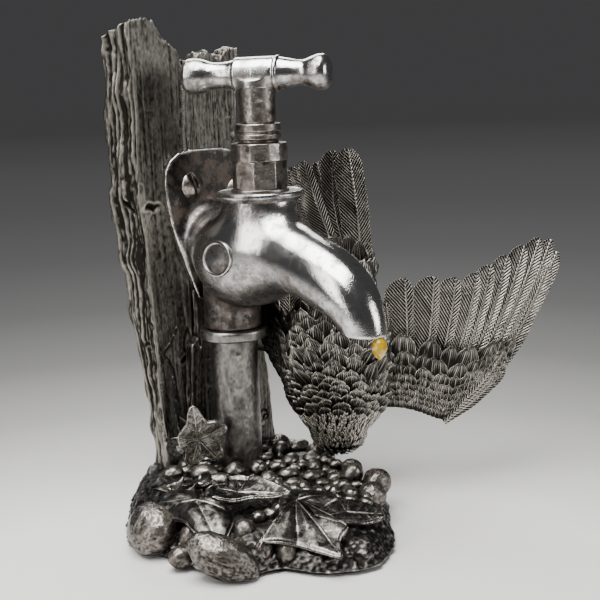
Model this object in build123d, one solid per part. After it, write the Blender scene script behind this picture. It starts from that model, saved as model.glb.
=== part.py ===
from build123d import *
import os
from math import cos, radians, sin, sqrt

# Silver table sculpture: an old garden tap on a standpipe, fixed to a weathered post,
# with ivy, fallen leaves and stones on a rocky base, and a sparrow hanging behind the spout.
# Frame: millimetres, +Z up, origin on the floor straight below the tap's spindle.
# The spout points to -Y and the post stands on the +Y side.

os.makedirs("parts", exist_ok=True)

# ---------------------------------------------------------------- driving dimensions
# base
PAD_TOP = 1.2                # felt pad under the base
GROUND_TOP = 12.0            # flat on which the leaves, stones and pipe stand
FIXING_HEAD_D = 7.0
FIXING_HEAD_H = 2.5
FIXING_SHANK_D = 3.5
FIXING_TOP = 26.0            # how high the fixing screws reach into the wood

# wood
WOOD_FRONT_Y = 40.0          # front face of post and plank, where the wall plate sits
POST_BACK_Y = 57.0
PLANK_BACK_Y = 50.0

# standpipe
PIPE_Y = 23.0
PIPE_D = 21.3                # half-inch nominal steel pipe
PIPE_BORE = 16.0
PIPE_FOOT_Z = 4.0
PIPE_TOP_Z = 83.0
COLLAR_D = 30.4
COLLAR_Z = (70.8, 75.8)
SOCKET_D = 25.4
SOCKET_Z = (76.0, 90.0)

# tap body
BODY_Z = 108.0               # height of the body's round belly
NECK_D = 31.0
NECK_Z = (116.0, 135.0)
RIM_D = 37.5
RIM_Z = (135.0, 138.0)
NECK_BORE = 22.1
SEAT_Z = (108.5, 112.0)
SEAT_D = 15.0
SEAT_BORE = 10.0
CHAMBER_D = 20.0
OUTLET_Y = -61.6
OUTLET_Z = 84.6
OUTLET_BORE = 11.0
PLATE_THICK = 3.0
PLATE_SCREW_X = 10.5
PLATE_SCREW_Z = 139.0
SCREW_HEAD_H = 3.2
PLATE_SHANK_D = 4.0
PLATE_SHANK_LENGTH = 12.0
SCREW_DOME_R = 6.86          # gives a head 11.6 across

# bonnet, gland and spindle
BONNET_Z = (124.0, 138.8, 150.2, 157.0)   # thread foot, nut foot, nut top, spigot top
BONNET_THREAD_D = 22.0
BONNET_SPIGOT_D = 18.0
NUT_FLATS = 22.0             # across the flats of the bonnet's eight-sided nut
NUT_TURN = 40.0
UPPER_NUT_D = 24.2
GLAND_D = 19.2
GLAND_Z = (154.4, 158.7, 165.6)           # tail foot, ring foot, ring top
STUFFING_D = 14.0
STUFFING_Z = 151.0
SPINDLE_THREAD_D = 12.0
SPINDLE_STEM_D = 8.0
HANDLE_STEM_D = 7.0
JUMPER_STEM_D = 6.0
THREAD_PLAY = 0.12           # on the diameter
PLAY = 0.06                  # on the diameter, for parts that don't move

# handle
HANDLE_Z = 185.6
HANDLE_LENGTH = 64.0
HANDLE_ANGLE = -57.0         # rest direction of the handle's near arm, from +X
HANDLE_BARREL_D = 13.4
HANDLE_NECK_Z = 166.0

# bird
BIRD_FOOT = (33.4, -4.6)     # point on the floor below the bird's back
BIRD_YAW = -40.9             # direction of its outstretched wing, from +X
WING_THICK = 3.0
TAIL_THICK = 2.6


def save(node, shape):
    """Write one node, as one solid or a group of separate solids."""
    solids = shape.solids()
    export_step(solids[0] if len(solids) == 1 else Compound(children=list(solids)), f"parts/{node}.step")


def rod(diameter, z_low, z_high, x=0.0, y=0.0):
    """Upright cylinder between two heights."""
    height = z_high - z_low
    return Pos(x, y, z_low) * Cylinder(diameter / 2, height, align=(Align.CENTER, Align.CENTER, Align.MIN))


def ring(outer, inner, z_low, z_high, x=0.0, y=0.0):
    """Upright tube between two heights."""
    return rod(outer, z_low, z_high, x, y) - rod(inner, z_low - 1, z_high + 1, x, y)


def stone(x, y, z, radius, stretch=0.0, turn=0.0):
    """Ball, or two balls joined into a rounded bar when stretch is given."""
    shape = Sphere(radius)
    if stretch:
        shape = Pos(-stretch / 2, 0, 0) * shape + Pos(stretch / 2, 0, 0) * shape
        shape += Rot(0, 90, 0) * Cylinder(radius, stretch)
    return Pos(x, y, z) * Rot(0, 0, turn) * shape


def above(shape, z):
    """The part of a shape above a height."""
    return shape & (Pos(0, 0, z) * Box(600, 600, 400, align=(Align.CENTER, Align.CENTER, Align.MIN)))


def wood_slab(front, front_y, back, back_y):
    """Board between a front and a back outline, both lists of (x, z)."""
    outlines = []
    for points, y in ((front, front_y), (back, back_y)):
        outlines.append(make_face(Polyline(*[(x, y, z) for x, z in points], close=True)))
    return loft(outlines, ruled=True)


# ---------------------------------------------------------------- base
BASE_OUTLINE = [
    (-74, 3), (-71, -20), (-67, -42), (-61, -56), (-46, -60), (-37, -74), (-21, -84), (-4, -79), (12, -63),
    (28, -44), (37, -20), (40, 8), (42, 32), (38, 52), (20, 64), (-4, 68), (-26, 67), (-45, 60), (-57, 44),
    (-66, 24),
]
BASE_CENTRE = (-18, -10)

# x, y, z, radius, stretch, turn
RIM_ROCKS = [
    (-66, -8, 9.4, 9.6, 4, -20),
    (-60, -46, 9.0, 9.0, 9, -48),
    (-61, -24, 8.6, 5.0, 0, 0),
    (-69, -30, 6.2, 4.6, 0, 0),
    (-46, -38, 11, 5.0, 0, 0),
    (-44, -50, 7.6, 5.4, 0, 0),
    (-35, -61, 6.6, 5.0, 0, 0),
    (24, -42, 12, 6.4, 0, 0),
    (12, -50, 11.5, 6.0, 0, 0),
    (28, -22, 12, 4.8, 0, 0),
    (30, 4, 12, 5.4, 3, 20),
    (28, 28, 10.5, 6.0, 0, 0),
    (-50, 28, 9.8, 6.8, 4, 20),
    (-44, 47, 9.4, 7.2, 0, 0),
    (-12, 62, 8.0, 5.6, 4, 0),
    (16, 57, 8.0, 5.8, 5, -20),
]

# x, y, radius, stretch, turn: smooth stones at the foot of the pipe
RIVER_STONES = [
    (-25, 17, 4.6, 2.4, -30),
    (-14, 8.5, 4.4, 0, 0),
    (-4, 4.6, 4.0, 0, 0),
    (1.5, -10, 3.4, 2.0, -30),
    (6, -20, 3.8, 2.0, -40),
    (19, -32, 4.8, 0, 0),
    (14, 3.0, 3.8, 2.0, 20),
    (20, 17, 4.2, 0, 0),
    (16, -10, 3.4, 1.6, 60),
    (-36, 24, 3.8, 1.6, 0),
]

PEBBLE_COUNT = 90
PEBBLE_SPREAD = 4.6          # millimetres per square root of the pebble's number
GOLDEN_ANGLE = 2.39996       # radians
PEBBLE_CENTRE = (4, -6)


def base_pad():
    inner = [(BASE_CENTRE[0] + 0.9 * (x - BASE_CENTRE[0]), BASE_CENTRE[1] + 0.9 * (y - BASE_CENTRE[1]))
             for x, y in BASE_OUTLINE]
    return extrude(make_face(Spline(*inner, periodic=True)), PAD_TOP)


def ground_block():
    """Loft from the foot outline to a slightly smaller top."""
    faces = []
    for share, z in ((0.97, PAD_TOP), (1.0, 4.5), (0.9, GROUND_TOP)):
        points = [(BASE_CENTRE[0] + share * (x - BASE_CENTRE[0]),
                   BASE_CENTRE[1] + share * (y - BASE_CENTRE[1]), z) for x, y in BASE_OUTLINE]
        faces.append(make_face(Spline(*points, periodic=True)))
    return loft(faces)


def rim_rocks():
    rocks = [above(stone(*numbers), PAD_TOP) for numbers in RIM_ROCKS]
    return Compound(children=[rock.solid() for rock in rocks])


def river_stones():
    stones = [above(stone(x, y, GROUND_TOP + 0.6, radius, stretch, turn), GROUND_TOP)
              for x, y, radius, stretch, turn in RIVER_STONES]
    return Compound(children=[item.solid() for item in stones])


def pebble_places():
    """Sunflower spiral of small pebbles, without those that would touch something."""
    taken = [(x, y, radius + stretch / 2) for x, y, _z, radius, stretch, _turn in RIM_ROCKS]
    taken += [(x, y, radius + stretch / 2) for x, y, radius, stretch, _turn in RIVER_STONES]
    taken += [(0, PIPE_Y, PIPE_D / 2), (24, 31, 6)]
    places = []
    for i in range(6, PEBBLE_COUNT):
        reach = PEBBLE_SPREAD * sqrt(i)
        x = PEBBLE_CENTRE[0] + reach * cos(i * GOLDEN_ANGLE)
        y = PEBBLE_CENTRE[1] + reach * sin(i * GOLDEN_ANGLE)
        size = 1.7 + 0.5 * sin(i * 1.7)
        on_ground = x < 28 and -52 < y < 36 and x + 0.9 * y > -22
        if on_ground and all((x - p) ** 2 + (y - q) ** 2 > (r + size + 0.3) ** 2 for p, q, r in taken):
            places.append((x, y, size))
            taken.append((x, y, size))
    return places


def pebbles():
    items = []
    for x, y, size in pebble_places():
        items.append(above(Pos(x, y, GROUND_TOP + 0.3) * Sphere(size), GROUND_TOP).solid())
    return Compound(children=items)


def ground_leaf(points, thick):
    """Fallen leaf as a plate on the ground."""
    plate = extrude(make_face(Polyline(*points, close=True)), thick)
    return Pos(0, 0, GROUND_TOP) * plate


LEAF_LEFT = [(-64, 1), (-50, -1), (-36, -10), (-28, -20), (-24, -33), (-36, -28), (-41, -32), (-53, -33),
             (-56, -24), (-56, -14)]
LEAF_FRONT = [(-22, -34), (-12, -40), (-9, -52), (-25, -57), (-20, -70), (-28, -74), (-32, -66), (-30, -54),
              (-38, -48), (-37, -38)]
LEAF_RIGHT = [(-8, -52), (2, -55), (1, -66), (-6, -73), (-14, -72), (-18, -66), (-22, -59)]
CURLED_LEAVES = [
    [(-52, 12), (-44, 16), (-38, 12), (-44, 5)],
    [(-36, 7), (-29, 8), (-26, 2), (-34, -4), (-39, 1)],
]


def curled_leaves():
    return Compound(children=[ground_leaf(points, 4.0).solid() for points in CURLED_LEAVES])


def fixing_places():
    return [(-27, 49), (-16, 48), (0, 45), (26, 45)]


def fixing_screws(play=0.0):
    """Screws from below into post and plank; play widens them for their holes."""
    shape = None
    for x, y in fixing_places():
        screw = rod(FIXING_HEAD_D + play, PAD_TOP + 0.2 - play, PAD_TOP + 0.2 + FIXING_HEAD_H + play, x, y)
        screw += rod(FIXING_SHANK_D + play, PAD_TOP + 0.2, FIXING_TOP + play, x, y)
        shape = screw if shape is None else shape + screw
    return shape


# ---------------------------------------------------------------- wood and plants
POST_FRONT = [(-26, 12), (-29.2, 44), (-32.3, 90), (-34.4, 134), (-34.9, 193), (-31.5, 205), (-26.2, 210.4),
              (-21.4, 207.6), (-16.9, 199.3), (-8.6, 193), (-9.2, 134), (-9.4, 12)]
POST_BACK = [(-24, 12), (-27.4, 44), (-34.5, 90), (-38.6, 134), (-37.2, 194), (-36.6, 204), (-30, 208.5),
             (-22, 205), (-17, 198), (-8.6, 192), (-9.2, 134), (-9.4, 12)]
PLANK_OUTLINE = [(-9.1, 12), (-8.3, 193), (-3, 191), (1, 196), (6, 197.5), (12, 193.7), (17, 199),
                 (22.2, 199.4), (21, 175), (20, 152), (24, 110), (29.6, 73), (33.2, 40), (36.6, 12)]
SPLINTER_OUTLINE = [(-17, 12), (-16.5, 44), (-15, 67), (-12, 70), (-10, 66), (-8.6, 70.2), (-7.4, 44),
                    (-7, 12)]
SPLINTER_Y = (34.8, 39.7)
VINE_POINTS = [(-20, 38.6, 77), (-24.6, 38.6, 70), (-28.4, 38.6, 65.6), (-25.4, 38.6, 60.5), (-24, 38.4, 54),
               (-24.4, 38, 40), (-24, 36, 30), (-24, 33, 18)]
TENDRIL_POINTS = [(22, 35, 13.2), (22.4, 35, 24), (24.6, 35, 28.6), (28, 35, 25), (27, 35, 21)]
IVY_CENTRE = (-20.5, 20.5, 27)
IVY_OUTLINE = [(-4.4, 17.4), (1.0, 8.0), (8.6, 6.8), (5.4, 0.0), (5.6, -8.4), (0.0, -5.6), (-6.6, -10.4),
               (-7.4, -2.0), (-11.0, 2.6), (-6.0, 5.6)]
IVY_SMALL = (-13.0, -2.0, 4.2)        # right, up and radius of the small round leaf
IVY_THICK = 1.4


def tube_along(points, radius):
    path = Spline(*points)
    start = Plane(origin=path @ 0, z_dir=path % 0)
    return sweep(start * Circle(radius), path=path)


def ivy_sprig():
    plane = Plane(origin=IVY_CENTRE, x_dir=(cos(radians(BIRD_YAW)), sin(radians(BIRD_YAW)), 0),
                  z_dir=(sin(radians(BIRD_YAW)), -cos(radians(BIRD_YAW)), 0))
    leaf = extrude(plane * make_face(Polyline(*IVY_OUTLINE, close=True)), IVY_THICK)
    small_x, small_y, small_r = IVY_SMALL
    small = extrude(plane * (Pos(small_x, small_y) * Circle(small_r)), IVY_THICK)
    return leaf + small


# ---------------------------------------------------------------- pipe and tap
# (y, z, radius, tilt of the section from upright) along the spout
SPOUT_SECTIONS = [(0, 111.0, 17.5, 0), (-15, 111.6, 15.6, 6), (-30, 108.4, 13.9, 16), (-43, 104.0, 12.9, 25),
                  (-53, 98.8, 11.8, 38), (-59.4, 92.2, 10.0, 62), (OUTLET_Y, OUTLET_Z, 8.4, 90)]
PLATE_OUTLINE = [(0, 154.5), (15, 154), (22, 149), (22.6, 140), (21, 126), (15, 106), (8, 88), (0, 84)]


def standpipe():
    return ring(PIPE_D, PIPE_BORE, PIPE_FOOT_Z, PIPE_TOP_Z, 0, PIPE_Y)


def spout_section(y, z, radius, tilt):
    angle = radians(tilt)
    return Plane(origin=(0, y, z), x_dir=(1, 0, 0), z_dir=(0, -cos(angle), -sin(angle))) * Circle(radius)


def spout():
    """Round sections lofted along the spout."""
    return loft([spout_section(*numbers) for numbers in SPOUT_SECTIONS])


def wall_plate():
    half = PLATE_OUTLINE
    mirrored = [(-x, z) for x, z in reversed(half[1:-1])]
    points = [(x, WOOD_FRONT_Y, z) for x, z in half + mirrored]
    face = make_face(Polyline(*points, close=True))
    return extrude(face, PLATE_THICK, dir=(0, -1, 0))


def body_outer():
    half_ellipse = Ellipse(25, 20.2) & Pos(0, 15) * Rectangle(60, 30)
    belly = Pos(0, 6, BODY_Z) * Rot(0, 0, 90) * revolve(half_ellipse, Axis.X)
    back = loft([Plane(origin=(0, 18, 112), z_dir=(0, 1, 0)) * Circle(18),
                 Plane(origin=(0, WOOD_FRONT_Y - PLATE_THICK + 0.5, 115), z_dir=(0, 1, 0)) * Circle(20)])
    back = back & (Pos(0, 25, 118) * Box(46, 40, 66))
    socket = rod(SOCKET_D, SOCKET_Z[0], 100, 0, PIPE_Y)
    neck = rod(NECK_D, NECK_Z[0], NECK_Z[1])
    rim = fillet(rod(RIM_D, RIM_Z[0], RIM_Z[1]).edges().filter_by(GeomType.CIRCLE), 1.2)
    return belly + back + socket + neck + rim + spout() + wall_plate()


def waterway():
    """Everything that is hollow in the body."""
    inlet = rod(PIPE_D + PLAY, SOCKET_Z[0] - 1, PIPE_TOP_Z + 0.2, 0, PIPE_Y)
    riser = rod(14, PIPE_TOP_Z, 99, 0, PIPE_Y)
    level = Pos(0, PIPE_Y + 5, 99) * Rot(90, 0, 0) * Cylinder(
        6, PIPE_Y + 12, align=(Align.CENTER, Align.CENTER, Align.MIN))
    up = rod(SEAT_BORE, 99, SEAT_Z[0] + 1)
    seat_pocket = rod(SEAT_D + PLAY, SEAT_Z[0] - PLAY / 2, SEAT_Z[1] + 1)
    chamber = rod(CHAMBER_D, SEAT_Z[1] - 0.5, 122)
    neck = rod(NECK_BORE, 121, RIM_Z[1] + 1)
    outlet_line = [(0, -4, 116), (0, -22, 112), (0, -42, 104), (0, -54.5, 95.5), (0, OUTLET_Y, OUTLET_Z - 2)]
    outlet = tube_along(outlet_line, OUTLET_BORE / 2)
    return inlet + riser + level + up + seat_pocket + chamber + neck + outlet


def plate_screws(play=0.0):
    shape = None
    for side in (-1, 1):
        x = side * PLATE_SCREW_X
        face_y = WOOD_FRONT_Y - PLATE_THICK
        shank = Cylinder((PLATE_SHANK_D + play) / 2, PLATE_SHANK_LENGTH + play,
                         align=(Align.CENTER, Align.CENTER, Align.MIN))
        shank = Pos(x, face_y - 0.5, PLATE_SCREW_Z) * Rot(-90, 0, 0) * shank
        head = Pos(x, face_y - SCREW_HEAD_H + SCREW_DOME_R, PLATE_SCREW_Z) * Sphere(SCREW_DOME_R)
        head = head & (Pos(x, face_y - 10, PLATE_SCREW_Z) * Box(20, 20, 20))
        slot = Pos(x, face_y - 3.2, PLATE_SCREW_Z) * Rot(0, -35, 0) * Box(14, 2.6, 1.3)
        screw = head - slot + shank
        shape = screw if shape is None else shape + screw
    return shape


def body_badge(outer):
    """Plain raised oval on the side of the body."""
    face = Plane(origin=(-21.6, 9, 110), x_dir=(0, -1, 0), z_dir=(1, 0, 0)) * Ellipse(6.2, 7.8)
    return extrude(face, 8) - outer


def bonnet():
    z0, z1, z2, z3 = BONNET_Z
    outline = Rot(0, 0, NUT_TURN) * RegularPolygon(NUT_FLATS / 2, 8, major_radius=False)
    flats = Pos(0, 0, z1) * extrude(outline, z2 - z1)
    shape = rod(BONNET_THREAD_D, z0, z1 + 1) + flats + rod(BONNET_SPIGOT_D, z2 - 1, z3)
    shape -= rod(SPINDLE_THREAD_D + THREAD_PLAY, z0 - 1, STUFFING_Z)
    return shape - rod(STUFFING_D + PLAY, STUFFING_Z - 0.5, z3 + 1)


def upper_nut():
    nut = rod(UPPER_NUT_D, BONNET_Z[2] + 0.02, 157.6)
    nut = chamfer(nut.edges().filter_by(GeomType.CIRCLE), 0.5)
    return nut - rod(BONNET_SPIGOT_D + PLAY, 149, 159)


def gland_nut():
    foot, step, top = GLAND_Z
    groove_z = (step + top) / 2 - 0.6
    nut = rod(STUFFING_D, foot, step + 1) + rod(GLAND_D, step, top)
    nut -= ring(GLAND_D + 2, GLAND_D - 1.6, groove_z, groove_z + 1.2)
    return nut - rod(SPINDLE_STEM_D + THREAD_PLAY, foot - 1, top + 1)


def gland_packing():
    return ring(STUFFING_D, SPINDLE_STEM_D + THREAD_PLAY, STUFFING_Z + 0.02, GLAND_Z[0] - 0.02)


def spindle():
    stem_top = HANDLE_Z + 1.4
    shape = rod(SPINDLE_THREAD_D, 122.0, 145.5) + rod(SPINDLE_STEM_D, 145, HANDLE_NECK_Z)
    shape += rod(HANDLE_STEM_D, HANDLE_NECK_Z - 1, stem_top)
    shape -= rod(JUMPER_STEM_D + THREAD_PLAY, 121, 136.2)
    return shape - handle_pin(PLAY)


def handle_pin(play=0.0):
    return Pos(0, 0, HANDLE_NECK_Z + 5) * Rot(0, 0, HANDLE_ANGLE + 90) * Rot(0, 90, 0) * Cylinder(
        1.0 + play / 2, 14.2 + play)


def handle_profile():
    """Half outline of the cross-bar: barrel in the middle, waisted arms, round ends."""
    half = HANDLE_LENGTH / 2
    arm = Spline((9.6, 6.2), (15, 5.1), (21, 5.3), (26.4, 7.1), (half - 1.4, 5.2), (half, 0))
    return arm


def handle_half(side):
    arm = handle_profile()
    outline = arm + Polyline((HANDLE_LENGTH / 2, 0), (0, 0), (0, 6.2), (9.6, 6.2))
    solid = revolve(make_face(outline), Axis.X)
    return solid if side > 0 else Rot(0, 0, 180) * solid


def tee_handle():
    bar = handle_half(1) + handle_half(-1)
    bar += Rot(0, 90, 0) * Cylinder(HANDLE_BARREL_D / 2, 18.4)
    bar += Pos(10.4, 0, 0) * Rot(0, 90, 0) * Cylinder(6.9, 1.8)
    bar = Pos(0, 0, HANDLE_Z) * Rot(0, 0, HANDLE_ANGLE) * bar
    neck = Pos(0, 0, HANDLE_NECK_Z) * Cone(7.6, 6.6, HANDLE_Z - HANDLE_NECK_Z - 3,
                                           align=(Align.CENTER, Align.CENTER, Align.MIN))
    shape = bar + neck
    shape -= rod(HANDLE_STEM_D + PLAY, HANDLE_NECK_Z - 1, HANDLE_Z + 1.6)
    return shape - handle_pin(PLAY)


def jumper_valve():
    return rod(14.0, 115.2, 117.6) + rod(JUMPER_STEM_D, 117, 131) + rod(3.0, 109.0, 116)


def tap_washer():
    return ring(13.6, 3.06, SEAT_Z[1] + 0.02, 115.18)


def washer_nut():
    nut = Pos(0, 0, 109.9) * extrude(RegularPolygon(3.0, 6, major_radius=False), 2.0)
    return nut - rod(3.06, 108, 113)


def water_drop():
    """Faceted oval drop: two eight-sided frusta on each side of its girdle."""
    x, y, top = 0, OUTLET_Y - 7.2, OUTLET_Z - 0.15
    rings = [(0.0, 1.6), (1.6, 2.7), (3.4, 3.15), (5.6, 2.8), (7.6, 1.7), (8.6, 0.7)]
    faces = [Pos(x, y, top - drop) * RegularPolygon(size, 8) for drop, size in rings]
    return loft(faces, ruled=True) - drop_pin(PLAY)


def drop_pin(play=0.0):
    return rod(1.2 + play, OUTLET_Z - 3.0 - play, OUTLET_Z + 3.0, 0, OUTLET_Y - 7.2)


# ---------------------------------------------------------------- bird
# The bird's own plane: x to its outstretched wing, y up, z out of its back.
def bird_plane(out=0.0, turn=0.0, right=0.0):
    """Upright plane at the bird, moved right and out, then turned about the vertical."""
    yaw = radians(BIRD_YAW)
    origin = (BIRD_FOOT[0] + right * cos(yaw) + out * sin(yaw),
              BIRD_FOOT[1] + right * sin(yaw) - out * cos(yaw), 0)
    turned = yaw + radians(turn)
    return Plane(origin=origin, x_dir=(cos(turned), sin(turned), 0), z_dir=(sin(turned), -cos(turned), 0))


# torso sections from the shoulders to the rump: right, up, half-width, half-depth
TORSO_SECTIONS = [(3, 33, 9, 9), (4, 40, 18, 13), (4, 52, 21.5, 15.5), (3.5, 66, 21, 15), (4.5, 80, 17, 12.5),
                  (7, 94, 11.5, 8.5), (9, 104, 7, 5)]
HEAD = (3.0, 27.6, 1.0, 11.0)
LEFT_WING = [(20, 42), (31, 37.4), (40, 35.2), (52, 29), (58.4, 31.2), (67.6, 39.4), (76.7, 46.2),
             (78, 54.2), (83.4, 69.3), (92.2, 82.8), (99.5, 108.9), (97.2, 111.6), (90.6, 109.6),
             (76.4, 103.8), (65.3, 96.5), (56.4, 90), (51.5, 94.2), (43, 97.2), (33.2, 94.4), (29.5, 86),
             (22, 70)]
RIGHT_WING = [(0, 42), (-8, 46), (-16, 58), (-23, 70), (-25, 84), (-24, 104), (-19, 112), (-12, 108),
              (-6, 92), (0, 76)]
TAIL = [(3, 96), (17, 94), (19.9, 102), (18.9, 119), (17.5, 136.8), (13.8, 150), (9.5, 152.3),
        (3.8, 151.6), (-1.5, 147.4), (-8.9, 147.7), (-16.4, 146.6), (-17.5, 140), (-9, 118)]


def bird_torso():
    """Ellipses stacked along the upright of the bird's plane."""
    sections = [Pos(x, y, 0) * Rot(90, 0, 0) * Ellipse(wide, deep) for x, y, wide, deep in TORSO_SECTIONS]
    return bird_plane() * loft(sections)


def bird_head():
    x, y, z, radius = HEAD
    return bird_plane() * (Pos(x, y, z) * Sphere(radius))


def bird_beak():
    x, y, z, radius = HEAD
    cone = Cone(3.0, 0.3, 9.0, align=(Align.CENTER, Align.CENTER, Align.MIN))
    return bird_plane() * (Pos(x, y, z) * Rot(128, 0, 0) * Pos(0, 0, radius - 1.5) * cone)


def bird_eyes():
    x, y, z, radius = HEAD
    shape = None
    for side in (-1, 1):
        eye = bird_plane() * (Pos(x + side * (radius - 1.2), y - 3.4, z - 3.0) * Sphere(1.6))
        shape = eye if shape is None else shape + eye
    return shape


def bird_plate(points, thick, plane):
    face = make_face(Polyline(*points, close=True))
    return extrude(plane * face, thick / 2, both=True)


def left_wing():
    return bird_plate(LEFT_WING, WING_THICK, bird_plane(out=0.0))


def right_wing():
    return bird_plate(RIGHT_WING, WING_THICK, bird_plane(out=-2.0, turn=-42, right=-15))


def bird_tail():
    return bird_plate(TAIL, TAIL_THICK, bird_plane(out=-7.0))


def leg(z, reach):
    """Thigh, shank and a foot whose toes close on the plank's edge."""
    points = [(40, 6, z), (41, 24, z + 8), (36, 40, z + 4), (reach, 45, z)]
    shape = None
    for a, b in zip(points, points[1:]):
        line = Line(a, b)
        piece = sweep(Plane(origin=a, z_dir=line % 0) * Circle(0.9), path=line) + Pos(*b) * Sphere(0.9)
        shape = piece if shape is None else shape + piece
    for dz in (-2.6, 0, 2.6):
        toe = Line((reach, 45, z), (reach - 1.2, 40.5, z + dz))
        shape += sweep(Plane(origin=toe @ 0, z_dir=toe % 0) * Circle(0.7), path=toe)
    return shape


def bird_legs():
    return leg(86, 31) + leg(70, 33)


def bird_mount_pin(play=0.0):
    line = Line((26, 45, 58), (36, 2, 58))
    return sweep(Plane(origin=line @ 0, z_dir=line % 0) * Circle(1.5 + play / 2), path=line)


# ---------------------------------------------------------------- write every node
rocks = rim_rocks()
stones = river_stones()
pipe_hole = rod(PIPE_D + PLAY, PIPE_FOOT_Z - 0.02, 40, 0, PIPE_Y)
screw_holes = fixing_screws(PLAY)
plate_holes = plate_screws(PLAY)
mount_hole = bird_mount_pin(PLAY)
outer = body_outer()
head = bird_head()
torso = bird_torso() - head - mount_hole
post = wood_slab(POST_FRONT, WOOD_FRONT_Y, POST_BACK, POST_BACK_Y)
plank = wood_slab(PLANK_OUTLINE, WOOD_FRONT_Y, PLANK_OUTLINE, PLANK_BACK_Y)

save("base_pad", base_pad())
save("ground_casting", ground_block() - rocks - pipe_hole - screw_holes)
save("rim_rocks", rocks)
save("river_stones", stones)
save("pebbles", pebbles())
save("leaf_left", ground_leaf(LEAF_LEFT, 6.0) - rocks)
save("leaf_front", ground_leaf(LEAF_FRONT, 5.0) - rocks)
save("leaf_right", ground_leaf(LEAF_RIGHT, 5.0) - rocks)
save("curled_leaves", curled_leaves())
save("base_screws", fixing_screws())
save("driftwood_post", post - screw_holes - plate_holes - rocks)
save("back_plank", plank - screw_holes - plate_holes - mount_hole - rocks)
save("wood_splinter", wood_slab(SPLINTER_OUTLINE, SPLINTER_Y[0], SPLINTER_OUTLINE, SPLINTER_Y[1]))
save("vine_stem", tube_along(VINE_POINTS, 0.9))
save("ivy_sprig", ivy_sprig())
save("curled_tendril", tube_along(TENDRIL_POINTS, 0.8))
save("standpipe", standpipe())
save("pipe_collar", ring(COLLAR_D, PIPE_D + PLAY, COLLAR_Z[0], COLLAR_Z[1], 0, PIPE_Y))
save("tap_body", outer - waterway() - plate_holes - drop_pin(PLAY))
save("body_badge", body_badge(outer))
save("plate_screws", plate_screws())
save("valve_seat", ring(SEAT_D, SEAT_BORE, SEAT_Z[0], SEAT_Z[1]))
save("bonnet_washer", ring(25.0, NECK_BORE + PLAY, RIM_Z[1] + 0.02, BONNET_Z[1] - 0.02))
save("bonnet", bonnet())
save("upper_nut", upper_nut())
save("gland_packing", gland_packing())
save("gland_nut", gland_nut())
save("spindle", spindle())
save("tee_handle", tee_handle())
save("handle_pin", handle_pin())
save("jumper_valve", jumper_valve())
save("tap_washer", tap_washer())
save("washer_nut", washer_nut())
save("water_drop", water_drop())
save("drop_pin", drop_pin())
save("bird_body", torso)
save("bird_head", head)
save("bird_beak", bird_beak() - head)
save("bird_eyes", bird_eyes() - head)
save("left_wing", left_wing() - bird_torso() - head)
save("right_wing", right_wing() - bird_torso())
save("bird_tail", bird_tail() - bird_torso())
save("bird_legs", bird_legs() - bird_torso())
save("bird_mount_pin", bird_mount_pin())
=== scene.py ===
"""Looks of the silver garden-tap sculpture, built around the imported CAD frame.

All shapes below are worked out in millimetres and turned into metres when a mesh is made.
The frame: +Z up, origin on the floor below the tap's spindle, spout towards -Y, post on the +Y side.
"""

from math import cos, pi, radians, sin, sqrt

import bpy
import numpy as np
from mathutils import Matrix, Vector


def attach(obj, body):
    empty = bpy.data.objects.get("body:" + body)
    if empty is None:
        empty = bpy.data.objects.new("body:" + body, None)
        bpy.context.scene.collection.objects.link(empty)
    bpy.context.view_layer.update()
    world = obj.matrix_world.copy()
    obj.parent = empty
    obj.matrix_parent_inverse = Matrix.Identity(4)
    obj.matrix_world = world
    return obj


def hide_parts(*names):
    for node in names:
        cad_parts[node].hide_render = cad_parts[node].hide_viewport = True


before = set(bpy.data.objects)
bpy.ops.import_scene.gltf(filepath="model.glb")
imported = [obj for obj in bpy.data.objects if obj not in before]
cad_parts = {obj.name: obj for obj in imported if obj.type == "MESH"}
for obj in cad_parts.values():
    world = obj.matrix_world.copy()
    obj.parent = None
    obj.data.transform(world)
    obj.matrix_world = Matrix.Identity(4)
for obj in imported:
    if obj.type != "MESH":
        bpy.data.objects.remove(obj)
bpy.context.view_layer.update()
MM = 0.001
ROOT = "sculpture"
GOLDEN = pi * (3 - sqrt(5))
FACING = radians(-40.9)    # the way that ivy and bird face, about the upright axis


def lattice(ix, iy, iz, seed):
    """Repeatable random number from 0 to 1 for every whole-number place."""
    n = ix * 374761393 + iy * 668265263 + iz * 1442695041 + seed * 974634777
    n = (n ^ (n >> 13)) * 1274126177
    n = n ^ (n >> 16)
    return (n & 0xFFFFFF) / float(0xFFFFFF)


def noise(points, seed=0):
    """Smooth value noise from -1 to 1 at every row of an (n, 3) array."""
    base = np.floor(points).astype(np.int64)
    part = points - base
    part = part * part * (3 - 2 * part)
    total = np.zeros(len(points))
    for dx in (0, 1):
        for dy in (0, 1):
            for dz in (0, 1):
                weight = np.where(dx, part[:, 0], 1 - part[:, 0])
                weight = weight * np.where(dy, part[:, 1], 1 - part[:, 1])
                weight = weight * np.where(dz, part[:, 2], 1 - part[:, 2])
                total += weight * lattice(base[:, 0] + dx, base[:, 1] + dy, base[:, 2] + dz, seed)
    return 2 * total - 1


def plane_points(u, v):
    """Places for the noise functions, from two coordinates."""
    return np.column_stack([u, v, 0 * u])


def fbm(points, octaves=3, seed=0):
    """Noise in several sizes added up, each finer than the last and half as strong."""
    total = np.zeros(len(points))
    scale, size = 1.0, 1.0
    for octave in range(octaves):
        total += size * noise(points * scale, seed + 17 * octave)
        scale *= 2.03
        size *= 0.5
    return total


def ridged(points, seed=0):
    """Noise with sharp crests at 1 and broad valleys towards 0."""
    return 1 - np.abs(noise(points, seed)) * 1.6


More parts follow.
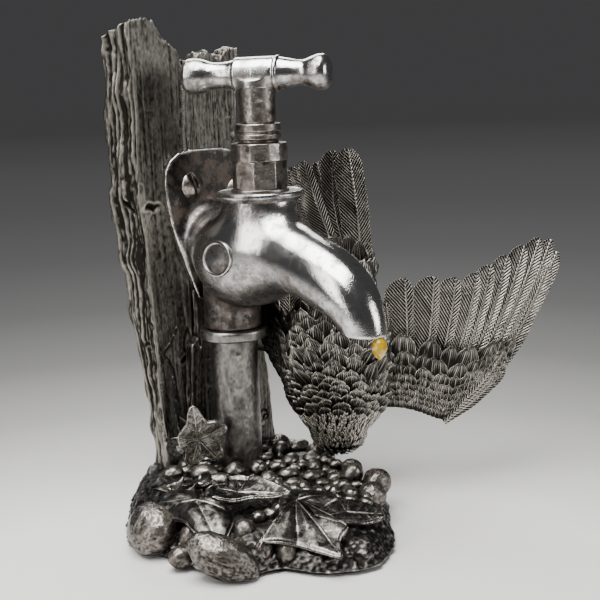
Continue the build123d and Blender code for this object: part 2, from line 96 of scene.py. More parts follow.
def smooth_step(low, high, value):
    """Rises smoothly from 0 at low to 1 at high; low may be the larger one."""
    t = np.clip((value - low) / (high - low), 0, 1)
    return t * t * (3 - 2 * t)


def unit(vectors):
    """Vectors scaled to length 1."""
    length = np.linalg.norm(vectors, axis=-1, keepdims=True)
    return vectors / np.maximum(length, 1e-9)


def curve_through(points, count):
    """Evenly spread points on a smooth curve through the given ones."""
    given = np.array(points, float)
    padded = np.vstack([2 * given[0] - given[1], given, 2 * given[-1] - given[-2]])
    steps = 24
    line = []
    for i in range(len(given) - 1):
        a, b, c, d = padded[i:i + 4]
        for t in np.linspace(0, 1, steps, endpoint=False):
            line.append(0.5 * (2 * b + (c - a) * t + (2 * a - 5 * b + 4 * c - d) * t ** 2
                               + (3 * b - a - 3 * c + d) * t ** 3))
    line = np.array(line + [given[-1]])
    reach = np.concatenate([[0], np.cumsum(np.linalg.norm(np.diff(line, axis=0), axis=1))])
    want = np.linspace(0, reach[-1], count)
    return np.stack([np.interp(want, reach, line[:, k]) for k in range(line.shape[1])], 1)


# ------------------------------------------------------------------ meshes
def grid_faces(rows, cols, close_cols=False):
    """Quads of a rows by cols grid of points."""
    r = np.arange(rows - 1)
    c = np.arange(cols if close_cols else cols - 1)
    row, col = np.meshgrid(r, c, indexing="ij")
    next_row, next_col = row + 1, (col + 1) % cols
    quads = np.stack([row * cols + col, row * cols + next_col, next_row * cols + next_col,
                      next_row * cols + col], -1)
    return quads.reshape(-1, 4)


class Soup:
    """Collects many small surfaces that end up in one piece."""

    def __init__(self):
        self.points, self.faces, self.relief, self.count = [], [], [], 0

    def add(self, points, faces, relief=None):
        """Adds one surface; faces is an array, or a list of arrays of different widths."""
        points = np.asarray(points, float).reshape(-1, 3)
        self.points.append(points)
        self.relief.append(np.full(len(points), 0.5) if relief is None else np.asarray(relief, float).ravel())
        for part in (faces if isinstance(faces, list) else [faces]):
            self.faces.append(np.asarray(part) + self.count)
        self.count += len(points)

    def make(self, name, material, **options):
        """Turns everything added so far into one piece."""
        return piece(name, np.vstack(self.points), self.faces, material, np.concatenate(self.relief),
                     **options)


def piece(name, points, faces, material, relief=None, body=ROOT, stands_for=(), smooth=True):
    """Makes a mesh object from points in millimetres, puts it under its body and hides the CAD parts it
    stands for.
    """
    faces = faces if isinstance(faces, list) else [faces]
    mesh = bpy.data.meshes.new(name)
    mesh.vertices.add(len(points))
    mesh.vertices.foreach_set("co", (np.asarray(points) * MM).astype(np.float32).ravel())
    corners = np.concatenate([part.ravel() for part in faces]).astype(np.int32)
    sizes = np.concatenate([np.full(len(part), part.shape[1]) for part in faces])
    mesh.loops.add(len(corners))
    mesh.loops.foreach_set("vertex_index", corners)
    mesh.polygons.add(len(sizes))
    mesh.polygons.foreach_set("loop_start", np.concatenate([[0], np.cumsum(sizes)[:-1]]).astype(np.int32))
    mesh.update(calc_edges=True)
    mesh.validate()
    mesh.polygons.foreach_set("use_smooth", np.full(len(mesh.polygons), smooth))
    if relief is not None:
        layer = mesh.attributes.new("relief", "FLOAT", "POINT")
        layer.data.foreach_set("value", np.clip(relief, 0, 1).astype(np.float32))
    mesh.materials.append(material)
    obj = bpy.data.objects.new(name, mesh)
    bpy.context.scene.collection.objects.link(obj)
    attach(obj, body)
    if stands_for:
        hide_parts(*stands_for)
    return obj


def lathe(profile, count=96):
    """Surface of revolution about an upright axis from (radius, z) points."""
    profile = np.array(profile, float)
    turn = np.linspace(0, 2 * pi, count, endpoint=False)
    points = np.stack([np.outer(profile[:, 0], np.cos(turn)), np.outer(profile[:, 0], np.sin(turn)),
                       np.repeat(profile[:, 1:2], count, 1)], -1)
    return points.reshape(-1, 3), grid_faces(len(profile), count, close_cols=True)


def rounded(corners, radius, steps=4):
    """Polyline of (radius, z) corners with its inner corners rounded."""
    out = [corners[0]]
    for before, here, after in zip(corners, corners[1:], corners[2:]):
        here = np.array(here, float)
        a, b = np.array(before) - here, np.array(after) - here
        reach = min(radius, np.linalg.norm(a) * 0.49, np.linalg.norm(b) * 0.49)
        start, end = here + unit(a) * reach, here + unit(b) * reach
        for t in np.linspace(0, 1, steps):
            out.append((1 - t) ** 2 * start + 2 * t * (1 - t) * here + t * t * end)
    out.append(corners[-1])
    return [tuple(p) for p in out]


def dense(profile, step):
    """Adds points so that no stretch of a profile is longer than step."""
    out = [np.array(profile[0], float)]
    for point in profile[1:]:
        point = np.array(point, float)
        parts = max(1, int(np.ceil(np.linalg.norm(point - out[-1]) / step)))
        start = out[-1]
        for i in range(1, parts + 1):
            out.append(start + (point - start) * i / parts)
    return np.array(out)


def tube(line, radii, around=10):
    """Closed tube along a line of points."""
    line = np.asarray(line, float)
    radii = np.broadcast_to(radii, (len(line),))
    along = unit(np.gradient(line, axis=0))
    side = unit(np.cross(along, [0.31, 0.17, 0.93]))
    up = np.cross(side, along)
    turn = np.linspace(0, 2 * pi, around, endpoint=False)
    ring = side[:, None] * np.cos(turn)[None, :, None] + up[:, None] * np.sin(turn)[None, :, None]
    points = line[:, None] + ring * radii[:, None, None]
    points = np.vstack([points.reshape(-1, 3), line[:1], line[-1:]])
    n = len(line) * around
    k = np.arange(around)
    first = np.stack([(k + 1) % around, k, np.full(around, n)], 1)
    last = np.stack([n - around + k, n - around + (k + 1) % around, np.full(around, n + 1)], 1)
    return points, [grid_faces(len(line), around, close_cols=True), first, last]


def ball_grid(rows, cols):
    """Unit sphere as a closed grid with its two poles."""
    lift = np.linspace(-pi / 2, pi / 2, rows + 2)[1:-1]
    turn = np.linspace(0, 2 * pi, cols, endpoint=False)
    points = np.stack([np.outer(np.cos(lift), np.cos(turn)), np.outer(np.cos(lift), np.sin(turn)),
                       np.repeat(np.sin(lift)[:, None], cols, 1)], -1).reshape(-1, 3)
    points = np.vstack([points, [[0, 0, -1], [0, 0, 1]]])
    k = np.arange(cols)
    n = rows * cols
    south = np.stack([(k + 1) % cols, k, np.full(cols, n)], 1)
    north = np.stack([n - cols + k, n - cols + (k + 1) % cols, np.full(cols, n + 1)], 1)
    return points, [grid_faces(rows, cols, close_cols=True), south, north]


# ------------------------------------------------------------------ materials
def new_material(name):
    """Empty node material with its nodes, links and main shader."""
    material = bpy.data.materials.new(name)
    material.use_nodes = True
    nodes = material.node_tree.nodes
    return material, nodes, material.node_tree.links, nodes["Principled BSDF"]


def add(nodes, kind, **inputs):
    """New node; each keyword sets a property of that name, or else an input."""
    node = nodes.new(kind)
    for key, value in inputs.items():
        if key in node.bl_rna.properties:
            setattr(node, key, value)
        else:
            node.inputs[key.replace("_", " ")].default_value = value
    return node


def math_node(nodes, links, operation, first, second):
    """Maths node on two numbers or sockets; returns its output."""
    node = nodes.new("ShaderNodeMath")
    node.operation = operation
    for socket, value in zip(node.inputs, (first, second)):
        if isinstance(value, (int, float)):
            socket.default_value = value
        else:
            links.new(value, socket)
    return node.outputs[0]


def range_node(nodes, links, value, low, high, to_low=0.0, to_high=1.0):
    """Node that maps low..high to to_low..to_high and holds the ends."""
    node = nodes.new("ShaderNodeMapRange")
    node.inputs["From Min"].default_value = low
    node.inputs["From Max"].default_value = high
    node.inputs["To Min"].default_value = to_low
    node.inputs["To Max"].default_value = to_high
    links.new(value, node.inputs["Value"])
    return node.outputs["Result"]


def clamped(nodes, links, value):
    """Node that keeps a value between 0 and 1."""
    node = nodes.new("ShaderNodeClamp")
    links.new(value, node.inputs["Value"])
    return node.outputs["Result"]


def colour_mix(nodes, links, factor, first, second):
    """Node that mixes two colours, each given as a tuple or a socket."""
    node = nodes.new("ShaderNodeMix")
    node.data_type = "RGBA"
    links.new(factor, node.inputs["Factor"])
    for socket, value in ((node.inputs["A"], first), (node.inputs["B"], second)):
        if isinstance(value, tuple):
            socket.default_value = value
        else:
            links.new(value, socket)
    return node.outputs["Result"]


def silver(name, dark, bright, low=0.35, high=0.75, rough=(0.5, 0.22), crest=1.0, blotch=0.25,
           blotch_size=160, grain_size=1400, grain=0.12, tarnish=None, tarnish_amount=0.0, streak=(1, 1, 1)):
    """Oxidised silver: dark in the recesses, rubbed bright where the relief stands up; where a piece paints
    shade or light into its relief, that shows here as darker or lighter colour and tarnish.
    """
    material, nodes, links, shader = new_material(name)
    place = add(nodes, "ShaderNodeTexCoord").outputs["Object"]
    mapping = add(nodes, "ShaderNodeMapping")
    mapping.inputs["Scale"].default_value = streak
    links.new(place, mapping.inputs["Vector"])
    spots = add(nodes, "ShaderNodeTexNoise", Scale=blotch_size, Detail=6.0, Roughness=0.62)
    links.new(mapping.outputs["Vector"], spots.inputs["Vector"])
    attribute = add(nodes, "ShaderNodeAttribute", attribute_name="relief")
    geometry = add(nodes, "ShaderNodeNewGeometry")
    edges = range_node(nodes, links, geometry.outputs["Pointiness"], 0.44, 0.56, -0.5, 0.5)
    raised = attribute.outputs["Fac"]
    worn = math_node(nodes, links, "MULTIPLY", edges, crest)
    cloud = range_node(nodes, links, spots.outputs["Fac"], 0.3, 0.7, -blotch, blotch)
    total = math_node(nodes, links, "ADD", math_node(nodes, links, "ADD", raised, worn), cloud)
    factor = range_node(nodes, links, total, low, high)
    colour = colour_mix(nodes, links, factor, dark + (1,), bright + (1,))
    roughness = range_node(nodes, links, factor, 0, 1, rough[0], rough[1])
    if tarnish:
        patches = add(nodes, "ShaderNodeTexNoise", Scale=blotch_size * 0.55, Detail=8.0, Roughness=0.7)
        links.new(place, patches.inputs["Vector"])
        dull = range_node(nodes, links, raised, 0.3, 1.0, 0.05, -0.03)
        stain = range_node(nodes, links, math_node(nodes, links, "ADD", patches.outputs["Fac"], dull),
                           0.49, 0.64, 0, tarnish_amount)
        colour = colour_mix(nodes, links, clamped(nodes, links, stain), colour, tarnish + (1,))
        roughness = math_node(nodes, links, "ADD", roughness,
                              math_node(nodes, links, "MULTIPLY", stain, 0.16))
    links.new(colour, shader.inputs["Base Color"])
    links.new(roughness, shader.inputs["Roughness"])
    shader.inputs["Metallic"].default_value = 1.0
    fine = add(nodes, "ShaderNodeTexNoise", Scale=grain_size, Detail=4.0, Roughness=0.6)
    links.new(mapping.outputs["Vector"], fine.inputs["Vector"])
    bump = add(nodes, "ShaderNodeBump", Strength=grain, Distance=0.0004)
    links.new(fine.outputs["Fac"], bump.inputs["Height"])
    links.new(bump.outputs["Normal"], shader.inputs["Normal"])
    return material


def plain_finish(name, first, second, size, roughness, metallic=0.0, grain=0.3):
    """Small mottled finish for hidden parts."""
    material, nodes, links, shader = new_material(name)
    place = add(nodes, "ShaderNodeTexCoord").outputs["Object"]
    spots = add(nodes, "ShaderNodeTexNoise", Scale=size, Detail=5.0)
    links.new(place, spots.inputs["Vector"])
    links.new(colour_mix(nodes, links, spots.outputs["Fac"], first + (1,), second + (1,)),
              shader.inputs["Base Color"])
    bump = add(nodes, "ShaderNodeBump", Strength=grain, Distance=0.0003)
    links.new(spots.outputs["Fac"], bump.inputs["Height"])
    links.new(bump.outputs["Normal"], shader.inputs["Normal"])
    shader.inputs["Roughness"].default_value = roughness
    shader.inputs["Metallic"].default_value = metallic
    return material


def citrine_material():
    """Clouded yellow stone: glossy, slightly see-through, with a faint painted glow."""
    material, nodes, links, shader = new_material("citrine")
    place = add(nodes, "ShaderNodeTexCoord").outputs["Object"]
    cloud = add(nodes, "ShaderNodeTexNoise", Scale=220.0, Detail=3.0)
    links.new(place, cloud.inputs["Vector"])
    colour = colour_mix(nodes, links, cloud.outputs["Fac"], (0.34, 0.185, 0.001, 1), (0.64, 0.41, 0.006, 1))
    links.new(colour, shader.inputs["Base Color"])
    shader.inputs["Roughness"].default_value = 0.04
    shader.inputs["IOR"].default_value = 1.55
    shader.inputs["Transmission Weight"].default_value = 0.15
    # the emission is painted light: a faint glow in the stone's own colour
    links.new(colour, shader.inputs["Emission Color"])
    shader.inputs["Emission Strength"].default_value = 0.10
    return material


WOOD = silver("silver_wood", (0.022, 0.019, 0.016), (0.34, 0.318, 0.28), low=0.20, high=1.0,
              rough=(0.5, 0.30), crest=0.9, blotch=0.20, blotch_size=800, grain_size=2400,
              streak=(1, 1, 0.4), grain=0.6)
GROUND = silver("silver_ground", (0.019, 0.017, 0.015), (0.28, 0.265, 0.245), low=0.28, high=1.05,
                rough=(0.5, 0.28), crest=1.1, blotch=0.14, blotch_size=420, grain=0.4)
ROCK = silver("silver_rock", (0.030, 0.026, 0.023), (0.31, 0.278, 0.25), low=0.26, high=1.0,
              rough=(0.46, 0.27), crest=1.0, blotch=0.2, blotch_size=1100, grain=0.5)
PEBBLE = silver("silver_pebble", (0.026, 0.024, 0.021), (0.39, 0.365, 0.325), low=0.27, high=1.05,
                rough=(0.44, 0.26), crest=0.7, blotch=0.2, blotch_size=600, grain=0.3)
LEAF = silver("silver_leaf", (0.022, 0.020, 0.018), (0.46, 0.435, 0.395), low=0.32, high=1.05,
              rough=(0.34, 0.18), crest=0.9, blotch=0.18, blotch_size=330, grain=0.22)
FEATHER = silver("silver_feather", (0.016, 0.0145, 0.0125), (0.53, 0.50, 0.445), low=0.26, high=1.0,
                 rough=(0.45, 0.2), crest=0.9, blotch=0.14, blotch_size=160, grain=0.12)
PIPE = silver("silver_pipe", (0.05, 0.047, 0.045), (0.43, 0.415, 0.39), low=0.0, high=1.1, rough=(0.42, 0.26),
              crest=0.9, blotch=0.25, blotch_size=420, streak=(1, 1, 0.2), grain=0.35,
              tarnish=(0.20, 0.165, 0.145), tarnish_amount=0.3)
POLISHED = silver("silver_polished", (0.045, 0.041, 0.038), (0.82, 0.805, 0.785), low=0.08, high=0.92,
                  rough=(0.42, 0.12), crest=0.5, blotch=0.2, blotch_size=330, grain=0.16,
                  tarnish=(0.165, 0.13, 0.11), tarnish_amount=0.8)
WORN = silver("silver_worn", (0.040, 0.034, 0.030), (0.52, 0.47, 0.43), low=0.1, high=1.0,
              rough=(0.40, 0.24), crest=1.2, blotch=0.25, blotch_size=380, grain=0.25,
              tarnish=(0.125, 0.09, 0.073), tarnish_amount=0.6)
CITRINE = citrine_material()
BRASS = plain_finish("machined_brass", (0.52, 0.38, 0.16), (0.72, 0.56, 0.28), 900, 0.3, metallic=1.0)
STEEL = plain_finish("machined_steel", (0.42, 0.42, 0.43), (0.62, 0.62, 0.63), 900, 0.32, metallic=1.0)
RUBBER = plain_finish("black_rubber", (0.012, 0.012, 0.012), (0.04, 0.04, 0.04), 1200, 0.75)
FIBRE = plain_finish("red_fibre", (0.30, 0.08, 0.05), (0.48, 0.18, 0.10), 1600, 0.8)
FELT = plain_finish("dark_felt", (0.01, 0.01, 0.011), (0.05, 0.05, 0.055), 2600, 0.95, grain=0.8)

CAD_FINISH = {"spindle": BRASS, "jumper_valve": BRASS, "washer_nut": BRASS, "valve_seat": BRASS,
              "base_screws": STEEL, "handle_pin": STEEL, "drop_pin": WORN, "bird_mount_pin": FEATHER,
              "tap_washer": RUBBER, "bonnet_washer": FIBRE, "gland_packing": FIBRE}


def finish_cad_nodes():
    """Puts the small parts that stay as they come into their own finishes."""
    for node, material in CAD_FINISH.items():
        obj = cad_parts[node]
        obj.data.materials.clear()
        obj.data.materials.append(material)


# ------------------------------------------------------------------ rounded castings
def round_chain(points, knots):
    """Distance to a string of balls joined by cones; knots are (x, y, z, radius)."""
    best = np.full(len(points), 1e9)
    for a, b in zip(knots, knots[1:]):
        a, b = np.array(a, float), np.array(b, float)
        along = b[:3] - a[:3]
        t = np.clip((points - a[:3]) @ along / (along @ along), 0, 1)
        gap = np.linalg.norm(points - a[:3] - t[:, None] * along, axis=1) - (a[3] + t * (b[3] - a[3]))
        best = np.minimum(best, gap)
    return best


def can(points, centre, axis, radius, half, edge):
    """Distance to a cylinder with rounded edges."""
    local = points - np.array(centre, float)
    along = np.abs(local @ axis) - half + edge
    across = np.linalg.norm(local - np.outer(local @ axis, axis), axis=1) - radius + edge
    outside = np.sqrt(np.maximum(along, 0) ** 2 + np.maximum(across, 0) ** 2)
    return outside + np.minimum(np.maximum(along, across), 0) - edge


def blend_union(a, b, width):
    """Joins two distances with a soft seam of the given width."""
    h = np.clip(0.5 + 0.5 * (b - a) / width, 0, 1)
    return b + (a - b) * h - width * h * (1 - h)


def outline_gap(px, pz, outline):
    """Signed distance in a plane to a closed outline, negative inside."""
    best = np.full(len(px), 1e9)
    inside = np.zeros(len(px), bool)
    for (ax, az), (bx, bz) in zip(outline, outline[1:] + outline[:1]):
        ex, ez = bx - ax, bz - az
        t = np.clip(((px - ax) * ex + (pz - az) * ez) / (ex * ex + ez * ez), 0, 1)
        best = np.minimum(best, np.hypot(px - ax - t * ex, pz - az - t * ez))
        crosses = (az > pz) != (bz > pz)
        if bz != az:
            inside ^= crosses & (px < ax + (pz - az) * ex / ez)
    return np.where(inside, -best, best)


def neighbours(axis):
    """Slices that pick every grid point, and the next one along an axis."""
    first, second = [slice(None)] * 3, [slice(None)] * 3
    first[axis], second[axis] = slice(0, -1), slice(1, None)
    return tuple(first), tuple(second)


def net_quads(inside, number):
    """A quad round every grid edge that crosses the surface, wound to face outwards."""
    cells = number.shape
    quads = []
    for axis in range(3):
        u, v = [k for k in range(3) if k != axis]
        first, second = neighbours(axis)
        cross = inside[first] != inside[second]
        where = np.stack(np.nonzero(cross), 1)
        where = where[(where[:, u] > 0) & (where[:, v] > 0)
                      & (where[:, u] < cells[u]) & (where[:, v] < cells[v])]
        ring = []
        for du, dv in ((1, 1), (0, 1), (0, 0), (1, 0)):
            place = where.copy()
            place[:, u] -= du
            place[:, v] -= dv
            ring.append(number[tuple(place.T)])
        ring = np.stack(ring, 1)
        starts_in = inside[tuple(where.T)]
        flip = starts_in if axis != 1 else ~starts_in
        ring[~flip] = ring[~flip][:, ::-1]
        quads.append(ring)
    return np.vstack(quads)


def settled(points, distance):
    """Points moved onto the surface in a few steps along the slope."""
    reach = 0.05
    for _ in range(4):
        here = distance(points)
        slope = np.stack([distance(points + reach * np.eye(3)[k]) - here for k in range(3)], 1) / reach
        points = points - 0.8 * slope * (here / np.maximum((slope ** 2).sum(1), 0.05))[:, None]
    return points


def surface_net(distance, low, high, step):
    """Meshes the zero surface of a distance function, then settles the points onto it."""
    axes = [np.arange(low[k], high[k] + step, step) for k in range(3)]
    shape = tuple(len(axis) for axis in axes)
    places = np.stack(np.meshgrid(*axes, indexing="ij"), -1).reshape(-1, 3)
    value = distance(places).reshape(shape)
    inside = value < 0
    cells = tuple(n - 1 for n in shape)
    total = np.zeros(cells + (3,))
    hits = np.zeros(cells)
    for axis in range(3):
        first, second = neighbours(axis)
        a, b = value[first], value[second]
        cross = (a < 0) != (b < 0)
        share = np.where(cross, a / np.where(cross, a - b, 1), 0)
        others = [k for k in range(3) if k != axis]
        for du in (0, 1):
            for dv in (0, 1):
                part = [slice(None)] * 3
                part[axis] = slice(0, cells[axis])
                part[others[0]] = slice(du, du + cells[others[0]])
                part[others[1]] = slice(dv, dv + cells[others[1]])
                here = cross[tuple(part)]
                total[..., axis] += here * share[tuple(part)]
                total[..., others[0]] += here * du
                total[..., others[1]] += here * dv
                hits += here
    used = hits > 0
    number = np.full(cells, -1)
    number[used] = np.arange(used.sum())
    corner = np.stack(np.nonzero(used), 1)
    points = np.array(low) + step * (corner + total[used] / hits[used][:, None])
    return settled(points, distance), net_quads(inside, number)


Z_AXIS = np.array([0.0, 0.0, 1.0])
# y, z and radius along the spout's middle line
SPOUT = [(16, 109.5, 18.4), (4, 111.2, 17.4), (-15, 111.6, 15.6), (-30, 108.4, 13.9), (-43, 104, 12.9),
         (-52, 98.8, 11.8), (-58.2, 92.4, 10.2), (-61.3, 85.6, 8.7), (-61.9, 78, 8.2), (-61.9, 70, 8.2)]
PLATE = [(-9, 154.6), (0, 154.8), (9, 154.6), (15, 153.4), (19.4, 150.4), (22, 146), (22.8, 140),
         (22.4, 133), (20.4, 122), (15, 106), (8, 88), (0, 84), (-8, 88), (-15, 106), (-20.4, 122),
         (-22.4, 133), (-22.8, 140), (-22, 146), (-19.4, 150.4), (-15, 153.4)]
LIP_Z = 84.6
PLATE_FRONT, PLATE_BACK = 37.0, 40.0


class PlanarTube:
    """Distance to a smooth tube whose middle line lies in the plane x = 0."""

    def __init__(self, line, step=1.0, margin=30):
        self.line = curve_through(line, 400)
        self.reach = np.concatenate([[0], np.cumsum(np.linalg.norm(np.diff(self.line[:, :2], axis=0),
                                                                   axis=1))])
        self.low = self.line[:, :2].min(axis=0) - margin
        self.step = step
        shape = np.ceil((self.line[:, :2].max(axis=0) + margin - self.low) / step).astype(int) + 1
        yy, zz = np.meshgrid(*(self.low[k] + step * np.arange(shape[k]) for k in range(2)), indexing="ij")
        gap = (yy[..., None] - self.line[:, 0]) ** 2 + (zz[..., None] - self.line[:, 1]) ** 2
        near = gap.argmin(axis=-1)
        along = unit(np.gradient(self.line[:, :2], axis=0))[near]
        self.table = self.reach[near] + ((np.stack([yy, zz], -1) - self.line[near, :2]) * along).sum(-1)

    def __call__(self, points):
        place = (points[:, 1:] - self.low) / self.step
        place = np.clip(place, 0, np.array(self.table.shape) - 1.001)
        i, j = np.floor(place).astype(int).T
        u, v = (place - np.floor(place)).T
        along = (self.table[i, j] * (1 - u) * (1 - v) + self.table[i + 1, j] * u * (1 - v)
                 + self.table[i, j + 1] * (1 - u) * v + self.table[i + 1, j + 1] * u * v)
        y, z, radius = (np.interp(along, self.reach, self.line[:, k]) for k in range(3))
        return np.sqrt(points[:, 0] ** 2 + (points[:, 1] - y) ** 2 + (points[:, 2] - z) ** 2) - radius


SPOUT_TUBE = PlanarTube(SPOUT)


def tap_distance(points):
    """Distance to the cast body: bulb, spout, neck, socket, stem and wall plate, less the spout's bore."""
    scale = np.array([21.4, 26, 20.6])
    local = (points - np.array([0, 8.6, 108])) / scale
    k0 = np.linalg.norm(local, axis=1)
    k1 = np.linalg.norm(local / scale, axis=1)
    shape = k0 * (k0 - 1) / np.maximum(k1, 1e-6)
    shape = blend_union(shape, SPOUT_TUBE(points), 7.0)
    shape = blend_union(shape, can(points, (0, 0, 126), Z_AXIS, 15.3, 9.5, 0.2), 11.0)
    shape = blend_union(shape, can(points, (0, 23, 86), Z_AXIS, 12.7, 10, 0.8), 3.4)
    shape = blend_union(shape, round_chain(points, [(0, 14, 111, 17), (0, 32, 113, 14.5),
                                                    (0, 41, 115, 16)]), 6.0)
    plate = np.maximum(outline_gap(points[:, 0], points[:, 2], PLATE) + 0.5,
                       np.abs(points[:, 1] - (PLATE_FRONT + PLATE_BACK) / 2) - 1.1) - 0.4
    shape = np.maximum(blend_union(shape, plate, 4.0), points[:, 1] - PLATE_BACK)
    shape = np.maximum(shape, 76 - points[:, 2])
    near_lip = np.maximum(shape, LIP_Z - points[:, 2])
    shape = np.where(points[:, 1] < -40, near_lip, shape)
    bore = round_chain(points, [(0, -40, 104, 6.2), (0, -53, 97, 6.2), (0, -60.6, 88, 6.2),
                                (0, -61.6, 76, 6.6)])
    return -blend_union(-shape, bore, 0.9)


def shade_from_shape(points, seed, size=0.07):
    """Mottled relief for a smooth part, from noise at its points."""
    return 0.55 + 0.5 * fbm(points * size, 3, seed)


def rounded_prism(profile, sides, flats, turn, count=192):
    """Lathe whose widest parts are cut back to flat faces."""
    points, faces = lathe(profile, count)
    angle = np.arctan2(points[:, 1], points[:, 0]) - radians(turn) - pi / sides
    wedge = 2 * pi / sides
    local = (angle + wedge / 2) % wedge - wedge / 2
    limit = flats / 2 / np.cos(local)
    reach = np.hypot(points[:, 0], points[:, 1])
    factor = np.minimum(1, limit / np.maximum(reach, 1e-6))
    points[:, :2] *= factor[:, None]
    return points, faces


def hammered(points, amount, size, seed):
    """Slight unevenness of a worn casting, pushed away from the axis of the tap."""
    out = points.copy()
    shift = amount * fbm(points / size, 3, seed)
    flat = unit(np.column_stack([points[:, :2], np.zeros(len(points))]))
    return out + flat * shift[:, None]


def lathed_piece(name, profile, material, edge=0.4, step=0.5, rough=0.0, count=128, prism=None, **options):
    """Turned part from its profile, cut to flats where a prism is given, and made uneven by rough."""
    profile = dense(rounded(profile, edge), step)
    points, faces = rounded_prism(profile, *prism) if prism else lathe(profile, count)
    if rough:
        points = hammered(points, rough, 2.2, len(name))
    return piece(name, points, faces, material, shade_from_shape(points, len(name), 0.2), **options)


def build_tap():
    """Cast body with its rim, and the nuts and rings stacked on its neck."""
    points, faces = surface_net(tap_distance, (-24, -72, 75), (24, 42, 157), 0.62)
    normal = tap_normal(points)
    plate = smooth_step(30, 36.5, points[:, 1])
    rim = plate * np.exp(-((outline_gap(points[:, 0], points[:, 2], PLATE) + 0.3) / 0.8) ** 2)
    neck = smooth_step(122, 130, points[:, 2]) * (1 - plate)
    # under paints shade on the faces that look down: the relief drops there, which darkens them and adds
    # tarnish colour
    under = smooth_step(0.45, -0.45, normal[:, 2])
    socket = smooth_step(94, 88, points[:, 2]) * smooth_step(2, 8, points[:, 1])
    grit = fbm(points * 0.9, 3, 5)
    cloud = fbm(points / 9.0, 3, 7)
    points = points + normal * (0.05 * (plate + neck) * grit)[:, None]
    # This relief is the rubbed shine, patina and tarnish of the casting, plus the painted shade on its
    # underside
    polish_and_painted_shade = (0.95 - 0.80 * plate - 0.30 * neck - 0.45 * under - 0.62 * socket
              + 0.16 * cloud + 0.06 * grit + 0.85 * rim)
    piece("tap_casting", points, faces, POLISHED, polish_and_painted_shade, stands_for=["tap_body"])
    lathed_piece("tap_rim", [(15.0, 133.2), (17.2, 134.6), (18.75, 135.6), (18.75, 137.2), (17.6, 138),
                             (16.9, 137.5), (12.0, 137.5)], POLISHED, edge=0.7, step=0.3, count=192,
                 stands_for=["tap_body"])
    lathed_piece("bonnet_joint", [(12.4, 137.6), (12.4, 138.7), (10, 138.7)], WORN,
                 stands_for=["bonnet_washer"])
    lathed_piece("bonnet_nut", [(11, 138.8), (11.2, 138.8), (12.1, 139.4), (12.1, 149.5), (11.2, 150.2),
                                (8, 150.2)], WORN, edge=0.3, rough=0.07, prism=(8, 22.0, 40.0),
                 stands_for=["bonnet"])
    lathed_piece("upper_ring_nut", [(9, 150.25), (11.9, 150.25), (12.1, 150.6), (12.1, 157.2),
                                    (11.7, 157.6), (9, 157.6)], WORN, edge=0.3, rough=0.06,
                 prism=(12, 23.8, 8.0), stands_for=["upper_nut"])
    lathed_piece("gland_ring", [(4.1, 157.4), (8.4, 157.7), (8.6, 158.8), (9.5, 159.2), (9.6, 161.1),
                                (8.9, 161.5), (8.9, 162.1), (9.6, 162.5), (9.6, 165.2), (9.2, 165.6),
                                (4.1, 165.6)], WORN, edge=0.25, step=0.25, rough=0.08,
                 stands_for=["gland_nut"])


def tap_normal(points):
    """Outward direction of the cast body at each point."""
    here = tap_distance(points)
    slope = [tap_distance(points + 0.05 * np.eye(3)[k]) - here for k in range(3)]
    return unit(np.stack(slope, 1))


HANDLE_Z = 185.6
HANDLE_TURN = radians(-57)
ARM = np.array([cos(HANDLE_TURN), sin(HANDLE_TURN), 0])
# how far out along each arm of the handle, and the radius there
NEAR_ARM = [(0, 6.9), (9, 6.8), (13, 6.3), (17.5, 5.4), (21, 5.3), (24, 6.4), (27, 7.25), (30, 7.3),
            (36, 7.3)]
FAR_ARM = [(0, 6.8), (8, 6.3), (12, 5.6), (16, 5.3), (19.5, 5.6), (23, 6.8), (26, 7.3), (30, 7.3), (36, 7.3)]
ARM_REACH = 32.0
NECK_TOP = 180.5


def handle_distance(points):
    """Distance to the cross bar with its knobs, rings and the foot that meets the neck."""
    local = points - np.array([0, 0, HANDLE_Z])
    along = local @ ARM
    across = np.linalg.norm(local - np.outer(along, ARM), axis=1)
    near, far = curve_through(NEAR_ARM, 120), curve_through(FAR_ARM, 120)
    radius = np.where(along > 0, np.interp(along, near[:, 0], near[:, 1]),
                      np.interp(-along, far[:, 0], far[:, 1]))
    shape = np.maximum(across - radius, can(points, (0, 0, HANDLE_Z), ARM, 7.5, ARM_REACH, 4.2))
    shape = blend_union(shape, can(points, (0, 0, HANDLE_Z), ARM, 7.1, 8.6, 0.8), 0.5)
    shape = blend_union(shape, can(points, np.array([0, 0, HANDLE_Z]) + ARM * 9.6, ARM, 7.45, 0.9, 0.8), 0.4)
    neck = np.maximum(np.hypot(points[:, 0], points[:, 1]) - 8.1, np.abs(points[:, 2] - NECK_TOP - 1) - 1.6)
    shape = blend_union(shape, neck, 1.8)
    return np.maximum(shape, 3.56 - np.hypot(points[:, 0], points[:, 1]) - 20 * (points[:, 2] > 183))


def build_handle():
    """Cross bar and its neck; both turn and rise with the handle."""
    points, faces = surface_net(handle_distance, (-24, -34, 176.5), (24, 34, 199), 0.45)
    # low paints shade under the bar: its lower half gets less relief, so it comes out darker and more
    # tarnished than the top
    low = smooth_step(HANDLE_Z + 1, HANDLE_Z - 7, points[:, 2])
    cloud = fbm(points / 5.0, 3, 21)
    piece("tee_bar", points, faces, POLISHED, 0.80 - 0.50 * low + 0.24 * cloud, body="handle",
          stands_for=["tee_handle"])
    lathed_piece("tee_neck", [(3.6, 165.7), (7.3, 165.7), (7.7, 166.3), (7.6, 170), (7.8, 175),
                              (8.1, NECK_TOP + 0.5), (3.6, NECK_TOP + 0.5)], WORN, edge=0.5, rough=0.12,
                 body="handle", stands_for=["tee_handle"])


